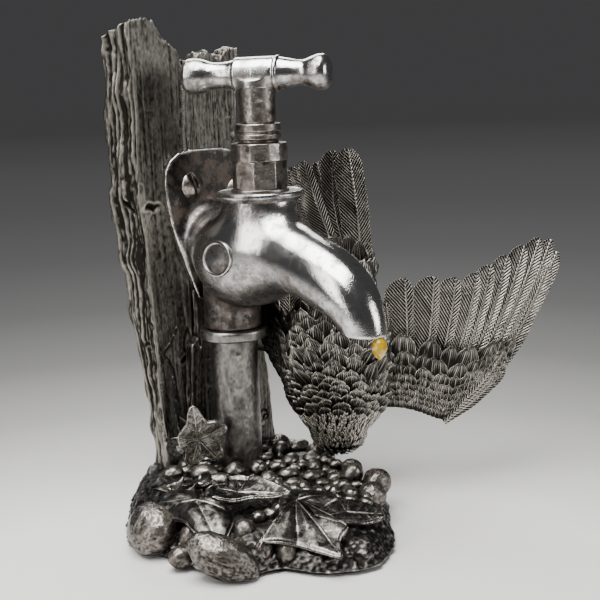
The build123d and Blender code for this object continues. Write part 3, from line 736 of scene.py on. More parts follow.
def build_pipe():
    """Standpipe with a dented, streaky skin, and the collar below the tap."""
    rows, cols = 190, 128
    z = np.linspace(8, 82, rows)
    turn = np.linspace(0, 2 * pi, cols, endpoint=False)
    zz, tt = np.meshgrid(z, turn, indexing="ij")
    place = np.stack([np.cos(tt) * 4, np.sin(tt) * 4, zz * 0.35], -1).reshape(-1, 3)
    dents = fbm(place * 0.55, 3, 31)
    fine = noise(place * np.array([3, 3, 2.0]), 37)
    radius = 10.62 + 0.16 * dents + 0.07 * fine
    points = np.stack([radius * np.cos(tt.ravel()), 23 + radius * np.sin(tt.ravel()), zz.ravel()], -1)
    piece("pipe_skin", points, grid_faces(rows, cols, close_cols=True), PIPE, 0.5 + 0.3 * dents + 0.2 * fine,
          stands_for=["standpipe"])
    profile = dense(rounded([(10.7, 70.9), (14.4, 70.9), (15.2, 71.6), (15.2, 75.0), (14.4, 75.8),
                             (12.6, 75.8)], 0.5), 0.35)
    points, faces = lathe(profile, 160)
    points = hammered(points, 0.09, 2.0, 3) + np.array([0, 23, 0])
    piece("collar_ring", points, faces, PIPE, 0.6 + 0.3 * fbm(points * 0.4, 3, 9), stands_for=["pipe_collar"])


def build_screws():
    """Domed heads with a slot, each in a slight countersunk ring."""
    soup = Soup()
    for middle, level, turn in ((-8.6, 139, 22), (15.8, 134.5, -18)):
        rows, cols = 34, 72
        reach = np.linspace(0, 5.8, rows)
        angle = np.linspace(0, 2 * pi, cols, endpoint=False)
        rr, aa = np.meshgrid(reach, angle, indexing="ij")
        u, v = rr * np.cos(aa), rr * np.sin(aa)
        height = np.sqrt(np.maximum(6.86 ** 2 - rr ** 2, 0)) - 3.66
        across = u * cos(radians(turn)) + v * sin(radians(turn))
        slot = smooth_step(1.55, 1.15, np.abs(across))
        height = height - slot * np.maximum(height - 0.6, 0)
        rim = smooth_step(5.3, 5.8, rr)
        points = np.stack([middle + u, PLATE_FRONT - height * (1 - rim) - 0.1, level + v], -1).reshape(-1, 3)
        relief = 0.8 - 1.2 * slot.ravel() + 0.2 * noise(points * 0.9, 3)
        soup.add(points, grid_faces(rows, cols, close_cols=True), relief)
    soup.make("slotted_screw_heads", WORN, stands_for=["plate_screws"])


def build_foot_screws():
    """Threaded screws that come up through the soil into the feet of the post and the plank."""
    profile = [(0.05, 1.9), (3.3, 1.9), (3.5, 2.2), (3.5, 3.4), (1.9, 4.4)]
    for turn in range(14):
        profile += [(1.35, 4.9 + 1.4 * turn), (1.9, 5.6 + 1.4 * turn)]
    profile += [(1.2, 24.6), (0.05, 26.0)]
    soup = Soup()
    for x, y in ((-20.5, 46), (-13, 42), (2, 42), (26, 42)):
        points, faces = lathe(dense(profile, 0.5), 48)
        soup.add(points + np.array([x, y, 0]), faces, 0.5 + 0.2 * noise(points * 0.8, 5))
    soup.make("foot_screws", WORN, stands_for=["base_screws"])


MEDAL_AXIS = unit(np.array([262.0, 355.0, -68.5]))
MEDAL_CENTRE = np.array([-20.5, 5.0, 110.6])


def build_badge():
    """Plain oval medal laid onto the belly's side by dropping its points onto the casting."""
    rows, cols = 30, 110
    share = np.linspace(0.02, 1, rows)
    angle = np.linspace(0, 2 * pi, cols, endpoint=False)
    ss, aa = np.meshgrid(share, angle, indexing="ij")
    level = unit(np.cross(MEDAL_AXIS, Z_AXIS))
    upright = np.cross(level, MEDAL_AXIS)
    points = (MEDAL_CENTRE + (6.3 * ss * np.cos(aa)).reshape(-1, 1) * level
              + (7.8 * ss * np.sin(aa)).reshape(-1, 1) * upright)
    points = points - 14 * MEDAL_AXIS
    for _ in range(40):
        points = points + 0.9 * tap_distance(points)[:, None] * MEDAL_AXIS
    rim = smooth_step(0.76, 0.84, ss) * smooth_step(1.0, 0.93, ss)
    dome = smooth_step(0.70, 0.0, ss)
    lift = np.where(ss > 0.97, -0.4, 0.35 + 0.65 * rim + 0.35 * dome).ravel()
    points = points + lift[:, None] * tap_normal(points)
    relief = (0.20 + 0.75 * rim + 0.45 * dome).ravel() + 0.2 * noise(points * 0.7, 4)
    faces = [grid_faces(rows, cols, close_cols=True), np.arange(cols)[None, ::-1]]
    piece("oval_medal", points, faces, POLISHED, relief, stands_for=["body_badge"])


def build_drop():
    """Faceted stone hanging at the lip, flat facets in staggered rows."""
    levels = [(0.0, 1.5), (1.3, 2.55), (3.1, 3.15), (4.2, 3.15), (6.0, 2.5), (7.6, 1.4), (8.5, 0.5)]
    sides = 10
    rings = []
    for i, (drop, radius) in enumerate(levels):
        turn = np.linspace(0, 2 * pi, sides, endpoint=False) + (i % 2) * pi / sides
        rings.append(np.stack([radius * np.cos(turn), radius * np.sin(turn), np.full(sides, -drop)], -1))
    points = np.vstack(rings) + np.array([0, -68.8, 84.4])
    faces = []
    for i in range(len(levels) - 1):
        for k in range(sides):
            a, b = i * sides + k, i * sides + (k + 1) % sides
            c, d = a + sides, b + sides
            if i % 2 == 0:
                faces += [(a, c, b), (b, c, d)]
            else:
                faces += [(a, d, b), (a, c, d)]
    caps = [[0, k + 1, k] for k in range(1, sides - 1)]
    base = (len(levels) - 1) * sides
    caps += [[base, base + k, base + k + 1] for k in range(1, sides - 1)]
    piece("citrine_drop", points, np.array(faces + caps)[:, ::-1], CITRINE, smooth=False,
          stands_for=["water_drop"])


# ------------------------------------------------------------------ weathered timber
SIDE_PITCH = 3.1     # millimetres between the grain lines on a board's side
TIMBER_FOOT = 9.0    # the boards start inside the ground
POST_LEFT = [(12, -26), (44, -29.2), (90, -32.3), (134, -34.4), (193, -34.9)]
POST_RIGHT = [(12, -9.4), (134, -9.2), (193, -8.6)]
POST_LEFT_BACK = [(12, -24), (44, -27.4), (90, -34.5), (134, -38.6), (194, -37.2)]
POST_TOP = [(-34.9, 209.6), (-31.5, 210.6), (-26.2, 211), (-22.4, 209.6), (-19.6, 205), (-16.9, 201.3),
            (-13, 199.4), (-10.4, 197), (-8.6, 190)]
PLANK_LEFT = [(12, -9.1), (193, -8.3)]
PLANK_RIGHT = [(12, 36.6), (40, 33.2), (73, 29.6), (110, 24), (152, 20), (175, 21), (199, 22.2)]
PLANK_TOP = [(-8.3, 194), (-3, 191), (1, 196), (6, 197), (12, 193.7), (17, 198), (22.2, 199)]


def at_height(line, z):
    """Place along a side line of (z, x) points at each height."""
    heights, values = zip(*line)
    return np.interp(z, heights, values)


def face_grain(u, z, seed, pitch, knots):
    """Height and relief of a worn sawn face: close dotted grain, few long grooves, some cross ridges."""
    wave = 0.8 * noise(plane_points(u / 20, z / 26), seed)
    for knot_u, knot_z, size in knots:
        gap = np.hypot(u - knot_u, (z - knot_z) * 0.45)
        wave = wave + np.sign(u - knot_u) * size * np.exp(-(gap / size) ** 2)
    across = u + wave
    streak = ridged(plane_points(across / pitch, z / 30), seed + 2)
    dots = noise(plane_points(across / 0.8, z / 1.5), seed + 3)
    broad = noise(plane_points(across / 7, z / 34), seed + 4)
    split = ridged(plane_points(across / 9, z / 60), seed + 5)
    groove = smooth_step(0.92, 1.0, split) * smooth_step(
        0.0, 0.5, noise(plane_points(u / 13, z / 26), seed + 6))
    steps = smooth_step(0.80, 0.99, ridged(plane_points(u / 9, z / 5.0), seed + 8))
    steps = steps * smooth_step(0.15, 0.6, noise(plane_points(u / 9, z / 17), seed + 9))
    height = 0.13 * streak + 0.06 * dots + 0.5 * broad - 0.8 * groove + 0.45 * steps
    relief = 0.29 + 0.13 * streak + 0.07 * dots + 0.08 * broad - 0.3 * groove + 0.40 * steps
    for knot_u, knot_z, size in knots:
        gap = np.hypot((u - knot_u) * 0.45, z - knot_z + 0.5 * np.sin(u * 1.1))
        height = (height - 1.3 * np.exp(-(gap / size) ** 2)
                  + 0.5 * np.exp(-((gap - size * 1.4) / (size * 0.5)) ** 2))
        relief = (relief - 0.4 * np.exp(-(gap / size) ** 2)
                  + 0.2 * np.exp(-((gap - size * 1.4) / (size * 0.5)) ** 2))
    return height, relief


def wood_grain(u, z, seed, pitch):
    """Height and relief of weathered grain; u runs across the board and z along it."""
    wave = 1.5 * noise(plane_points(u / 26, z / 24), seed)
    wave = wave + 0.5 * noise(plane_points(u / 8, z / 9), seed + 1)
    across = u + wave
    streak = ridged(plane_points(across / pitch, z / 55), seed + 2)
    fine = ridged(plane_points(across / (pitch * 0.38), z / 16), seed + 3)
    broad = noise(plane_points(across / 8, z / 60), seed + 4)
    split = ridged(plane_points(across / 7, z / 48), seed + 5)
    crack = smooth_step(0.86, 0.99, split) * smooth_step(
        -0.1, 0.4, noise(plane_points(u / 15, z / 30), seed + 6))
    chips = fbm(plane_points(u / 1.5, z / 3.0), 2, seed + 7)
    height = 0.42 * streak + 0.20 * fine + 0.6 * broad - 1.5 * crack + 0.14 * chips
    relief = 0.14 + 0.30 * streak + 0.24 * fine + 0.10 * broad - 0.8 * crack + 0.16 * chips
    return height, relief


def board_section(across, deep):
    """Shares of width and depth round a board: front, right side, back, left side."""
    share_x = np.concatenate([np.linspace(0, 1, across), np.ones(deep), np.linspace(1, 0, across),
                              np.zeros(deep)])
    side = np.linspace(0, 1, deep + 2)[1:-1]
    back_side = np.linspace(1, 0, deep + 2)[1:-1]
    return share_x, np.concatenate([np.zeros(across), side, np.ones(across), back_side])


def torn_top(flat, value, across, deep, seed):
    """Fuzzy end grain between the last ring's front and back; returns points, relief and quads."""
    last = len(flat) - 2 * (across + deep)
    front_ids = last + np.arange(across)
    back_ids = last + across + deep + np.arange(across)[::-1]
    right_ids = last + across + np.arange(deep)
    left_ids = last + 2 * across + deep + np.arange(deep)[::-1]
    blend = np.linspace(0, 1, deep + 2)[1:-1, None, None]
    inner = slice(1, across - 1)
    cap = flat[front_ids[inner]] * (1 - blend) + flat[back_ids[inner]] * blend
    fuzz = noise(cap.reshape(-1, 3) * np.array([0.9, 0.35, 0.1]), seed + 31).reshape(cap.shape[:2])
    rise = np.sin(blend[..., 0] * pi) * np.sin(np.linspace(0, pi, across))[None, inner] ** 0.3
    cap[..., 2] += (1.2 * fuzz + 0.8) * rise
    inside = len(flat) + np.arange(cap.shape[0] * cap.shape[1]).reshape(cap.shape[:2])
    flat = np.vstack([flat, cap.reshape(-1, 3)])
    value = np.concatenate([value, (0.55 + 0.35 * fuzz).ravel()])
    lines = np.vstack([front_ids, np.column_stack([left_ids, inside, right_ids]), back_ids])
    quads = np.stack([lines[:-1, :-1], lines[:-1, 1:], lines[1:, 1:], lines[1:, :-1]], -1)
    return flat, value, quads.reshape(-1, 4)


def timber(name, left, right, left_back, top, front_y, back_y, rows, across, deep, seed, stands_for,
           knots=(), side_gain=1.0, soft=1.6, pitch=1.5, tone=0.0,
           back_drop=0.0):
    """Upright board with worn corners, displaced by its grain, under a torn top."""
    share_x, share_y = board_section(across, deep)
    cols = len(share_x)
    sx, t = np.meshgrid(share_x, np.linspace(0, 1, rows))
    sy, _ = np.meshgrid(share_y, np.linspace(0, 1, rows))
    top_x, top_z = zip(*top)
    reach = np.interp(top_x[0] + sx * (top_x[-1] - top_x[0]), top_x, top_z)
    fibres = noise(plane_points(sx.ravel() * 40, sy.ravel() * 9), seed + 11).reshape(sx.shape)
    reach = reach - 0.6 + 0.9 * fibres - back_drop * sy * (1 - 0.7 * sx)
    z = TIMBER_FOOT + t * (reach - TIMBER_FOOT)
    x_left = at_height(left, z) * (1 - sy) + at_height(left_back, z) * sy
    x_right = at_height(right, z)
    x = x_left + sx * (x_right - x_left)
    y = front_y + sy * (back_y - front_y)
    width, depth = x_right - x_left, back_y - front_y
    from_left, from_right = x - x_left, x_right - x
    side = np.minimum(from_left, from_right)
    face = np.minimum(y - front_y, back_y - y)
    near_side, near_face = np.maximum(1 - side / soft, 0), np.maximum(1 - face / soft, 0)
    normal = np.stack([near_side * np.where(from_left < from_right, -1, 1),
                       near_face * np.where(y - front_y < back_y - y, -1, 1), 0 * x], -1)
    normal = unit(normal + 1e-6)
    bevel = soft * 0.42 * near_side * near_face
    around = np.where(sy <= 0, sx * width, np.where(sx >= 1, width + sy * depth, np.where(
        sy >= 1, 2 * width + depth - sx * width, -sy * depth)))
    on_side = near_side > near_face
    front_h, front_r = face_grain(around.ravel(), z.ravel(), seed, pitch, knots)
    front_r = front_r + tone
    side_h, side_r = wood_grain(around.ravel(), z.ravel(), seed + 50, SIDE_PITCH)
    pick = on_side.ravel()
    height = np.where(pick, side_h * 1.9 * side_gain, front_h).reshape(z.shape)
    relief = np.where(pick, side_r * 1.75 - 0.14, front_r).reshape(z.shape)
    edge_wave = 1.1 * noise(np.column_stack([z.ravel() / 9, sy.ravel() * 2, sx.ravel() * 2]),
                            seed + 21).reshape(z.shape)
    height = height - bevel + edge_wave * near_side * side_gain - 0.3
    relief = relief + 0.5 * near_side * near_face * (0.5 + 0.5 * fibres)
    points = np.stack([x, y, z], -1) + normal * height[..., None]
    faces = [grid_faces(rows, cols, close_cols=True)]
    flat, value = points.reshape(-1, 3), relief.ravel()
    flat, value, cap = torn_top(flat, value, across, deep, seed)
    faces.append(cap)
    return piece(name, flat, faces, WOOD, value, stands_for=stands_for)


def build_timber():
    """Post, plank and the thin splinter in front of them."""
    timber("post_wood", POST_LEFT, POST_RIGHT, POST_LEFT_BACK, POST_TOP, 40, 57, 400, 66, 40, 100,
           ["driftwood_post"], knots=((6, 131, 1.5), (17, 60, 1.6)), side_gain=1.25, back_drop=6.5,
           tone=0.13)
    timber("plank_wood", PLANK_LEFT, PLANK_RIGHT, PLANK_LEFT, PLANK_TOP, 40.2, 50, 360, 88, 22, 200,
           ["back_plank"], knots=((30, 52, 1.6),), side_gain=0.6, pitch=1.15, tone=0.17)
    timber("splinter_wood", [(12, -17), (44, -16.5), (67, -15), (71, -12.6)],
           [(12, -7), (44, -7.4), (70, -8.6)], [(12, -17), (44, -16.5), (67, -15), (71, -12.6)],
           [(-15, 67), (-12, 70.5), (-10, 65.5), (-8.6, 70.2)], 35.0, 39.7, 160, 26, 14, 300,
           ["wood_splinter"], soft=0.9, side_gain=0.4)


# ------------------------------------------------------------------ ground, rocks and stones
BASE_OUTLINE = [(-74, 3), (-71, -20), (-67, -42), (-61, -56), (-46, -60), (-37, -74), (-21, -84),
                (-4, -79), (12, -63), (28, -44), (37, -20), (40, 8), (42, 32), (38, 52), (20, 64),
                (-4, 67), (-22, 64.5), (-36, 54), (-49.5, 38.5), (-62.5, 21)]
BASE_CENTRE = np.array([-18.0, -10.0])
GROUND_TOP = 12.0
SOIL_FOOT = 1.25     # the ground stands just clear of the pad
PAD_TOP = 1.2
PAD_SHARE = 0.955    # the pad is drawn in from the ground's outline
HUMPS = [(-50, 17, 3.4, 11), (-39, 26, 3.6, 9), (-60, 4, 1.8, 9), (22, 40, 2.5, 12), (-18, 56, 2.0, 12),
         (26, 0, 2.0, 10), (4, -46, 1.6, 10), (-14, -30, 1.4, 14)]


def base_reach(angle):
    """How far the base reaches from its centre in each direction."""
    loop = curve_through(BASE_OUTLINE[-3:] + BASE_OUTLINE + BASE_OUTLINE[:3], 900) - BASE_CENTRE
    turn = np.unwrap(np.arctan2(loop[:, 1], loop[:, 0]))
    order = np.argsort(turn)
    spread = np.hypot(loop[:, 0], loop[:, 1])
    return np.interp((angle - turn.min()) % (2 * pi) + turn.min(), turn[order], spread[order])


def ground_height(x, y):
    """Height of the uneven ground at each x, y."""
    z = GROUND_TOP + 0 * x
    for hx, hy, lift, spread in HUMPS:
        z = z + lift * np.exp(-((x - hx) ** 2 + (y - hy) ** 2) / spread ** 2)
    place = plane_points(x, y)
    return z + 0.7 * fbm(place / 8.0, 2, 41) + 0.3 * ridged(place / 3.2, 43) + 0.1 * noise(place / 0.9, 47)


def build_ground():
    """Ground with its crusted side, and the felt pad below it."""
    cols, top_rows, side_rows = 700, 100, 40
    angle = np.linspace(0, 2 * pi, cols, endpoint=False)
    reach = base_reach(angle)
    share = np.concatenate([np.linspace(0.03, 0.88, top_rows), np.full(side_rows, 0.88)])
    drop = np.concatenate([np.zeros(top_rows), np.linspace(0, 1, side_rows + 1)[1:]])
    ss, aa = np.meshgrid(share, angle, indexing="ij")
    dd, rr = np.meshgrid(drop, reach, indexing="ij")
    bulge = 0.122 * dd ** 0.8 - 0.03 * smooth_step(0.9, 1.0, dd)
    spread = rr * (ss + bulge)
    x = BASE_CENTRE[0] + spread * np.cos(aa)
    y = BASE_CENTRE[1] + spread * np.sin(aa)
    top = ground_height(x.ravel(), y.ravel()).reshape(x.shape)
    top = top - 3.0 * smooth_step(0.72, 0.88, ss)
    z = top * (1 - dd) + SOIL_FOOT * dd
    place = np.stack([x, y, z], -1).reshape(-1, 3)
    lumps = fbm(place / 6.0, 3, 61)
    pits = ridged(place / 3.4, 67)
    crust = fbm(place / 1.1, 2, 71)
    outward = np.column_stack([np.cos(aa).ravel(), np.sin(aa).ravel(), 0 * aa.ravel()])
    side = smooth_step(0.74, 0.88, ss).ravel()
    foot = smooth_step(1.0, 0.9, dd.ravel())
    push = side * foot * (1.1 * lumps + 0.5 * pits + 0.32 * crust - 0.4)
    place = place + outward * push[:, None]
    place[:, 2] += (1 - dd.ravel()) * side * (0.7 * lumps + 0.35 * pits)
    place[:, 2] = np.maximum(place[:, 2], SOIL_FOOT)
    relief = 0.26 + 0.12 * pits + 0.16 * lumps + 0.30 * crust
    centre = len(place)
    place = np.vstack([place, [[BASE_CENTRE[0], BASE_CENTRE[1], GROUND_TOP]]])
    k = np.arange(cols)
    fan = np.stack([np.full(cols, centre), k, (k + 1) % cols], 1)
    ring = BASE_CENTRE + PAD_SHARE * reach[:, None] * np.stack([np.cos(angle), np.sin(angle)], 1)
    pad = np.vstack([np.column_stack([ring, np.full(cols, z)]) for z in (PAD_TOP, 0.25, 0.0)])
    pad[2 * cols:, :2] = BASE_CENTRE + 0.996 * (pad[2 * cols:, :2] - BASE_CENTRE)
    piece("felt_pad", pad, [grid_faces(3, cols, close_cols=True)[:, ::-1], k[None],
                            k[None, ::-1] + 2 * cols], FELT, np.full(len(pad), 0.5),
          stands_for=["base_pad"])
    piece("soil", place, [grid_faces(top_rows + side_rows, cols, close_cols=True)[:, ::-1], fan], GROUND,
          np.append(relief, 0.4), stands_for=["ground_casting"])


def boulder(soup, place, size, turn, seed, rows=44, cols=64, lump=0.10, pit=0.3, dip=0.0):
    """Rounded stone with dents and small pits; size is three half-lengths, dip lowers one end."""
    ball, faces = ball_grid(rows, cols)
    dents = fbm(ball * 1.5 + seed, 3, seed)
    near = ball * np.array(size)
    pits = (smooth_step(0.2, 0.95, ridged(near / 1.3 + seed, seed + 3))
            - 0.7 * smooth_step(0.1, 0.7, noise(near / 0.8, seed + 5)))
    normal = unit(ball / np.array(size))
    local = near * (1 + lump * dents)[:, None] + normal * (pit * pits)[:, None]
    local[:, 2] -= dip * local[:, 0]
    c, s = cos(radians(turn)), sin(radians(turn))
    points = local @ np.array([[c, s, 0], [-s, c, 0], [0, 0, 1]]) + np.array(place)
    points[:, 2] = np.maximum(points[:, 2], 1.25)
    # 0.28 * normal[:, 2] paints light on the tops of the stones and shade on their undersides
    soup.add(points, faces, 0.42 + 0.30 * pits * min(1, pit * 6) + 0.20 * dents + 0.28 * normal[:, 2])


# x, y, z, half-length, half-width, half-height, turn
RIM_ROCKS = [(-67, -7.6, 8.6, 12.6, 10.6, 10.4, 70), (-63.4, -48, 8.2, 13.4, 8.4, 8.4, -48),
             (-61, -24, 8.6, 5.2, 4.6, 5.4, 20), (-70, -30, 5.0, 5.4, 4.6, 4.6, 0),
             (-47, -40, 11, 4.8, 5.2, 5.2, 0), (-46.5, -52, 7.4, 5.0, 3.6, 6.0, 20),
             (-41, -58, 6.8, 4.4, 4.6, 5.4, 0), (-34, -68, 4.8, 6.4, 4.0, 3.2, -50),
             (24, -42, 12.2, 6.8, 6.0, 6.2, 30), (13, -50, 11.5, 6.2, 5.8, 6.0, 0),
             (28, -22, 12, 5.0, 4.6, 4.8, 0), (31, 4, 12, 6.6, 5.0, 5.4, 20),
             (28, 28, 10.5, 6.4, 5.6, 6.0, 0), (-12, 60, 7.6, 7.6, 5.4, 5.4, 0),
             (16, 57, 8.0, 8.2, 5.8, 5.6, -20)]
RIVER_STONES = [(-25, 16, 14.6, 6.6, 4.6, 4.0, -40), (-14, 8.5, 14.6, 4.6, 4.2, 4.2, 0),
                (-4, 4.6, 14.2, 4.2, 3.8, 3.8, 0), (1.5, -10, 13.8, 4.6, 3.2, 2.8, -34),
                (6, -20, 13.8, 4.4, 3.6, 3.2, -40), (19, -32, 14.8, 5.0, 4.6, 4.8, 0),
                (14, 3, 13.8, 4.8, 3.6, 3.2, 20), (20, 17, 14.0, 4.4, 4.0, 3.8, 0),
                (16, -10, 13.8, 4.2, 3.2, 3.0, 60), (-36, 24, 15.6, 5.0, 3.6, 3.2, 0),
                (9, 14, 13.6, 3.6, 2.8, 2.4, 0), (-3, -19, 13.4, 4.4, 2.6, 2.2, -30)]
LEAF_GROUND = [(-50, -20, 15), (-28, -24, 9), (-28, -58, 15), (-16, -66, 9)]


def scatter_places():
    """Sunflower spiral over the base, thinned where something bigger lies."""
    taken = [(x, y, max(a, b) * 0.9) for x, y, _z, a, b, _c, _t in RIM_ROCKS + RIVER_STONES]
    taken += [(0, 23, 10.8), *LEAF_GROUND]
    places = []
    for i in range(3, 620):
        reach = 3.4 * sqrt(i)
        x, y = 2 + reach * cos(i * GOLDEN), -2 + reach * sin(i * GOLDEN)
        size = 1.8 + 1.2 * abs(sin(i * 1.7)) + 0.7 * (sin(i * 0.61) > 0.8)
        inside = np.hypot(x + 18, y + 10) < 0.84 * base_reach(np.arctan2(y + 10, x + 18)) and x > -38
        behind_wood = y > 33 and -36 < x < 38 and y < 58
        if inside and not behind_wood and all((x - p) ** 2 + (y - q) ** 2 > (r + 0.72 * size) ** 2 for p,
                                              q, r in taken):
            places.append((x, y, size, i))
            taken.append((x, y, size * 0.85))
    return places


BIG_ROCK = 8         # millimetres of half-length from which a rock gets the finer mesh
SMOOTH_ROCKS = (2, 3, 4, 6)
HOLLOWED_ROCK = 1


def build_stones():
    """Big rocks on the rim, smooth stones at the pipe's foot, and scattered pebbles."""
    rocks = Soup()
    for i, (x, y, z, a, b, c, turn) in enumerate(RIM_ROCKS):
        big = a > BIG_ROCK
        boulder(rocks, (x, y, z), (a, b, c), turn, 11 + i, rows=78 if big else 40, cols=110 if big else 60,
                lump=0.06, pit=0.04 if i in SMOOTH_ROCKS else 0.13, dip=0.34 if i == HOLLOWED_ROCK else 0.0)
    rocks.make("pitted_rocks", ROCK, stands_for=["rim_rocks"])
    stones = Soup()
    for i, (x, y, z, a, b, c, turn) in enumerate(RIVER_STONES):
        boulder(stones, (x, y, z), (a, b, c), turn, 71 + i, rows=36, cols=52, lump=0.05, pit=0.03)
    stones.make("smooth_stones", PEBBLE, stands_for=["river_stones"])
    grit = Soup()
    for x, y, size, i in scatter_places():
        ground = float(ground_height(np.array([x]), np.array([y]))[0])
        half = (size * (1.15 + 0.3 * sin(i)), size, size * 0.8)
        boulder(grit, (x, y, ground + 0.35 * size), half, i * 47, 200 + i, rows=14, cols=22, lump=0.10,
                pit=0.02)
    grit.make("pebble_scatter", PEBBLE, stands_for=["pebbles"])


# ------------------------------------------------------------------ leaves and vine
def sheet_leaf(soup, outline, hub, tips, rows=46, cols=240, dish=0.0, curl=0.5, thick=0.8, seed=0, wave=0.5,
               tone=0.34, puff=0.8):
    """Fallen leaf inside an outline of (x, y, z) points, with veins from its hub to their tips."""
    rim = curve_through(outline + outline[:1], cols + 1)[:-1]
    centre = np.array(hub, float)
    share = np.linspace(0.02, 1, rows) ** 0.9
    ss = np.repeat(share[:, None], cols, 1)
    points = centre + ss[..., None] * (rim - centre)
    points[..., 2] += dish * np.sin(ss * pi) + curl * smooth_step(0.75, 1.0, ss)
    flat = points.reshape(-1, 3)
    line, between = np.zeros(len(flat)), np.full(len(flat), 9.0)
    for tip in tips:
        a, b = centre[:2], np.array(tip, float)[:2]
        along = b - a
        t = np.clip((flat[:, :2] - a) @ along / (along @ along), 0, 1)
        gap = np.linalg.norm(flat[:, :2] - a - t[:, None] * along, axis=1)
        size = 0.55 * (1 - 0.6 * t)
        between = np.minimum(between, gap + 2.0 * t)
        line = np.maximum(line, np.exp(-(gap / size) ** 2) * (1 - 0.4 * t))
        lane = (flat[:, :2] - a) @ (along / np.linalg.norm(along))
        ribs = smooth_step(0.55, 0.95, np.cos((lane - 0.8 * gap) * 2 * pi / 3.6))
        line = np.maximum(line, 0.30 * ribs * np.exp(-gap / 4.0) * (gap > 0.5) * (t > 0.02) * (t < 0.95))
    skin = fbm(flat / 8.5, 2, seed)
    rough = fbm(flat / 1.3, 2, seed + 3)
    fold = puff * (1 - np.exp(-(between / 3.2) ** 2))
    edge = smooth_step(0.965, 1.0, ss).ravel()
    top = flat.copy()
    top[:, 2] += 0.30 * line + wave * skin + 0.04 * rough + fold * (1 - edge) - 0.3 * edge
    under = flat.copy()
    under[:, 2] += wave * skin - thick
    relief = tone + 0.36 * line + 0.26 * edge + 0.12 * skin + 0.10 * rough + 0.14 * fold
    count = rows * cols
    sheet = grid_faces(rows, cols, close_cols=True)
    k = np.arange(cols)
    last = (rows - 1) * cols
    wall = np.stack([last + k, last + count + k, last + count + (k + 1) % cols, last + (k + 1) % cols], 1)
    # the under sheet gets 0.25 less relief than the top: painted shade under the leaf
    soup.add(np.vstack([top, under]), [sheet, sheet[:, ::-1] + count, wall, k[None, ::-1], k[None] + count],
             np.concatenate([relief, relief - 0.25]))


LEAF_A_LOW = [(-69.5, -5.2, 18), (-66, -12, 15.8), (-63.7, -22.9, 16), (-64.2, -33, 13.4), (-61.2, -42.5, 11),
              (-54, -40, 14.5), (-48, -34.5, 17.6), (-47.5, -26, 19.6), (-49.3, -18, 19.6), (-46, -12, 20),
              (-49.1, -7.4, 20), (-58, -4, 20.6)]
LEAF_A_HIGH = [(-51.2, -20.6, 19.8), (-44, -15, 21), (-38, -16.6, 20.6), (-34, -13.5, 21.4),
               (-27.2, -18.3, 21.2), (-24, -28, 20.8), (-21.8, -38.2, 19), (-29, -33.5, 17.4),
               (-36, -29.5, 17.6), (-42.6, -26.9, 18)]
LEAF_B = [(-20.8, -34, 18), (-15, -42, 19), (-10.5, -54.5, 19), (-19, -56, 17.2), (-27.1, -58.6, 18),
          (-24.6, -65, 16.5), (-21.8, -71.9, 15), (-28, -74, 12), (-33.3, -80.5, 9), (-37.5, -72, 10),
          (-39.9, -64.6, 10.5), (-45, -60, 12), (-50.2, -54.8, 13), (-43, -51.6, 16),
          (-37.6, -50.1, 17.2), (-30, -41, 18.6)]
LEAF_C = [(-26, -59, 16.4), (-19, -57.5, 17.6), (-11.4, -56, 18), (-5, -62.6, 17.4), (-2.8, -72.8, 14.4),
          (-9, -72, 13), (-16, -67.6, 13.6), (-21.6, -64.6, 14.6)]
# x, y, z, size and turn of the small three-pointed leaves
SMALL_LEAVES = [(-50.2, 5.5, 17.6, 7.4, 20), (-37.6, 3.0, 17.0, 7.0, -60), (-51.5, -6.2, 19.0, 6.0, 130)]
IVY_OUTLINE = [(-4.4, 17.2), (-2.6, 15.4), (-0.6, 12.0), (1.6, 9.6), (5.6, 9.6), (9.6, 7.4), (9.8, 4.6),
               (7.8, 1.6), (7.2, -2.0), (8.0, -5.4), (6.2, -9.0), (3.0, -8.8), (0.0, -7.0), (-3.2, -9.4),
               (-7.0, -11.0), (-9.2, -8.4), (-9.0, -4.4), (-11.4, -1.4), (-12.0, 3.0), (-9.8, 6.4),
               (-7.8, 9.2), (-7.2, 13.2), (-6.0, 16.2)]


def lone_leaf(name, node, outline, hub, tips, **shape):
    """Piece made of a single leaf."""
    soup = Soup()
    sheet_leaf(soup, outline, hub, tips, **shape)
    soup.make(name, LEAF, stands_for=[node])


def build_leaves():
    """Fallen leaves on the ground and the small curled ones by the post."""
    lone_leaf("bronzed_leaf_low", "leaf_left", LEAF_A_LOW, (-55, -20, 21),
              [(-69, -5.6, 18), (-61, -42, 11), (-48.5, -34, 18), (-49, -8, 20)],
              cols=300, dish=1.0, curl=-0.6, seed=401, wave=0.55)
    lone_leaf("bronzed_leaf_high", "leaf_left", LEAF_A_HIGH, (-36, -22.5, 19.6),
              [(-51, -20.6, 19.8), (-22, -38, 19), (-27.4, -18.6, 21), (-43.6, -15.4, 21)],
              cols=280, dish=0.5, curl=1.2, seed=411)
    lone_leaf("broad_front_leaf", "leaf_front", LEAF_B, (-24.5, -45, 19.6),
              [(-33.3, -80, 9), (-50, -54.8, 13), (-22, -71.4, 15), (-10.8, -54.2, 19), (-40, -64, 10.5),
               (-21, -34.4, 18)], rows=60, cols=340, dish=0.9, curl=0.3, seed=421)
    lone_leaf("curled_right_leaf", "leaf_right", LEAF_C, (-14, -63, 16.6),
              [(-25.6, -59.4, 16.4), (-3.4, -72.2, 14.6), (-11.6, -56.6, 18)],
              cols=260, dish=0.4, curl=0.3, seed=431)
    small = Soup()
    for i, (x, y, z, size, turn) in enumerate(SMALL_LEAVES):
        rim = []
        for k in range(9):
            angle = k * 2 * pi / 9 + radians(turn)
            reach = size * (1.0 + 0.25 * cos(3 * (angle - radians(turn))))
            rim.append((x + reach * cos(angle), y + 0.62 * reach * sin(angle),
                        z + 2.2 * abs(cos(angle)) - 0.6))
        sheet_leaf(small, rim, (x, y, z), rim[::3], rows=30, cols=150, dish=-0.8, curl=0.6, seed=441 + i,
                   wave=0.3)
    small.make("small_curled_leaves", LEAF, stands_for=["curled_leaves"])


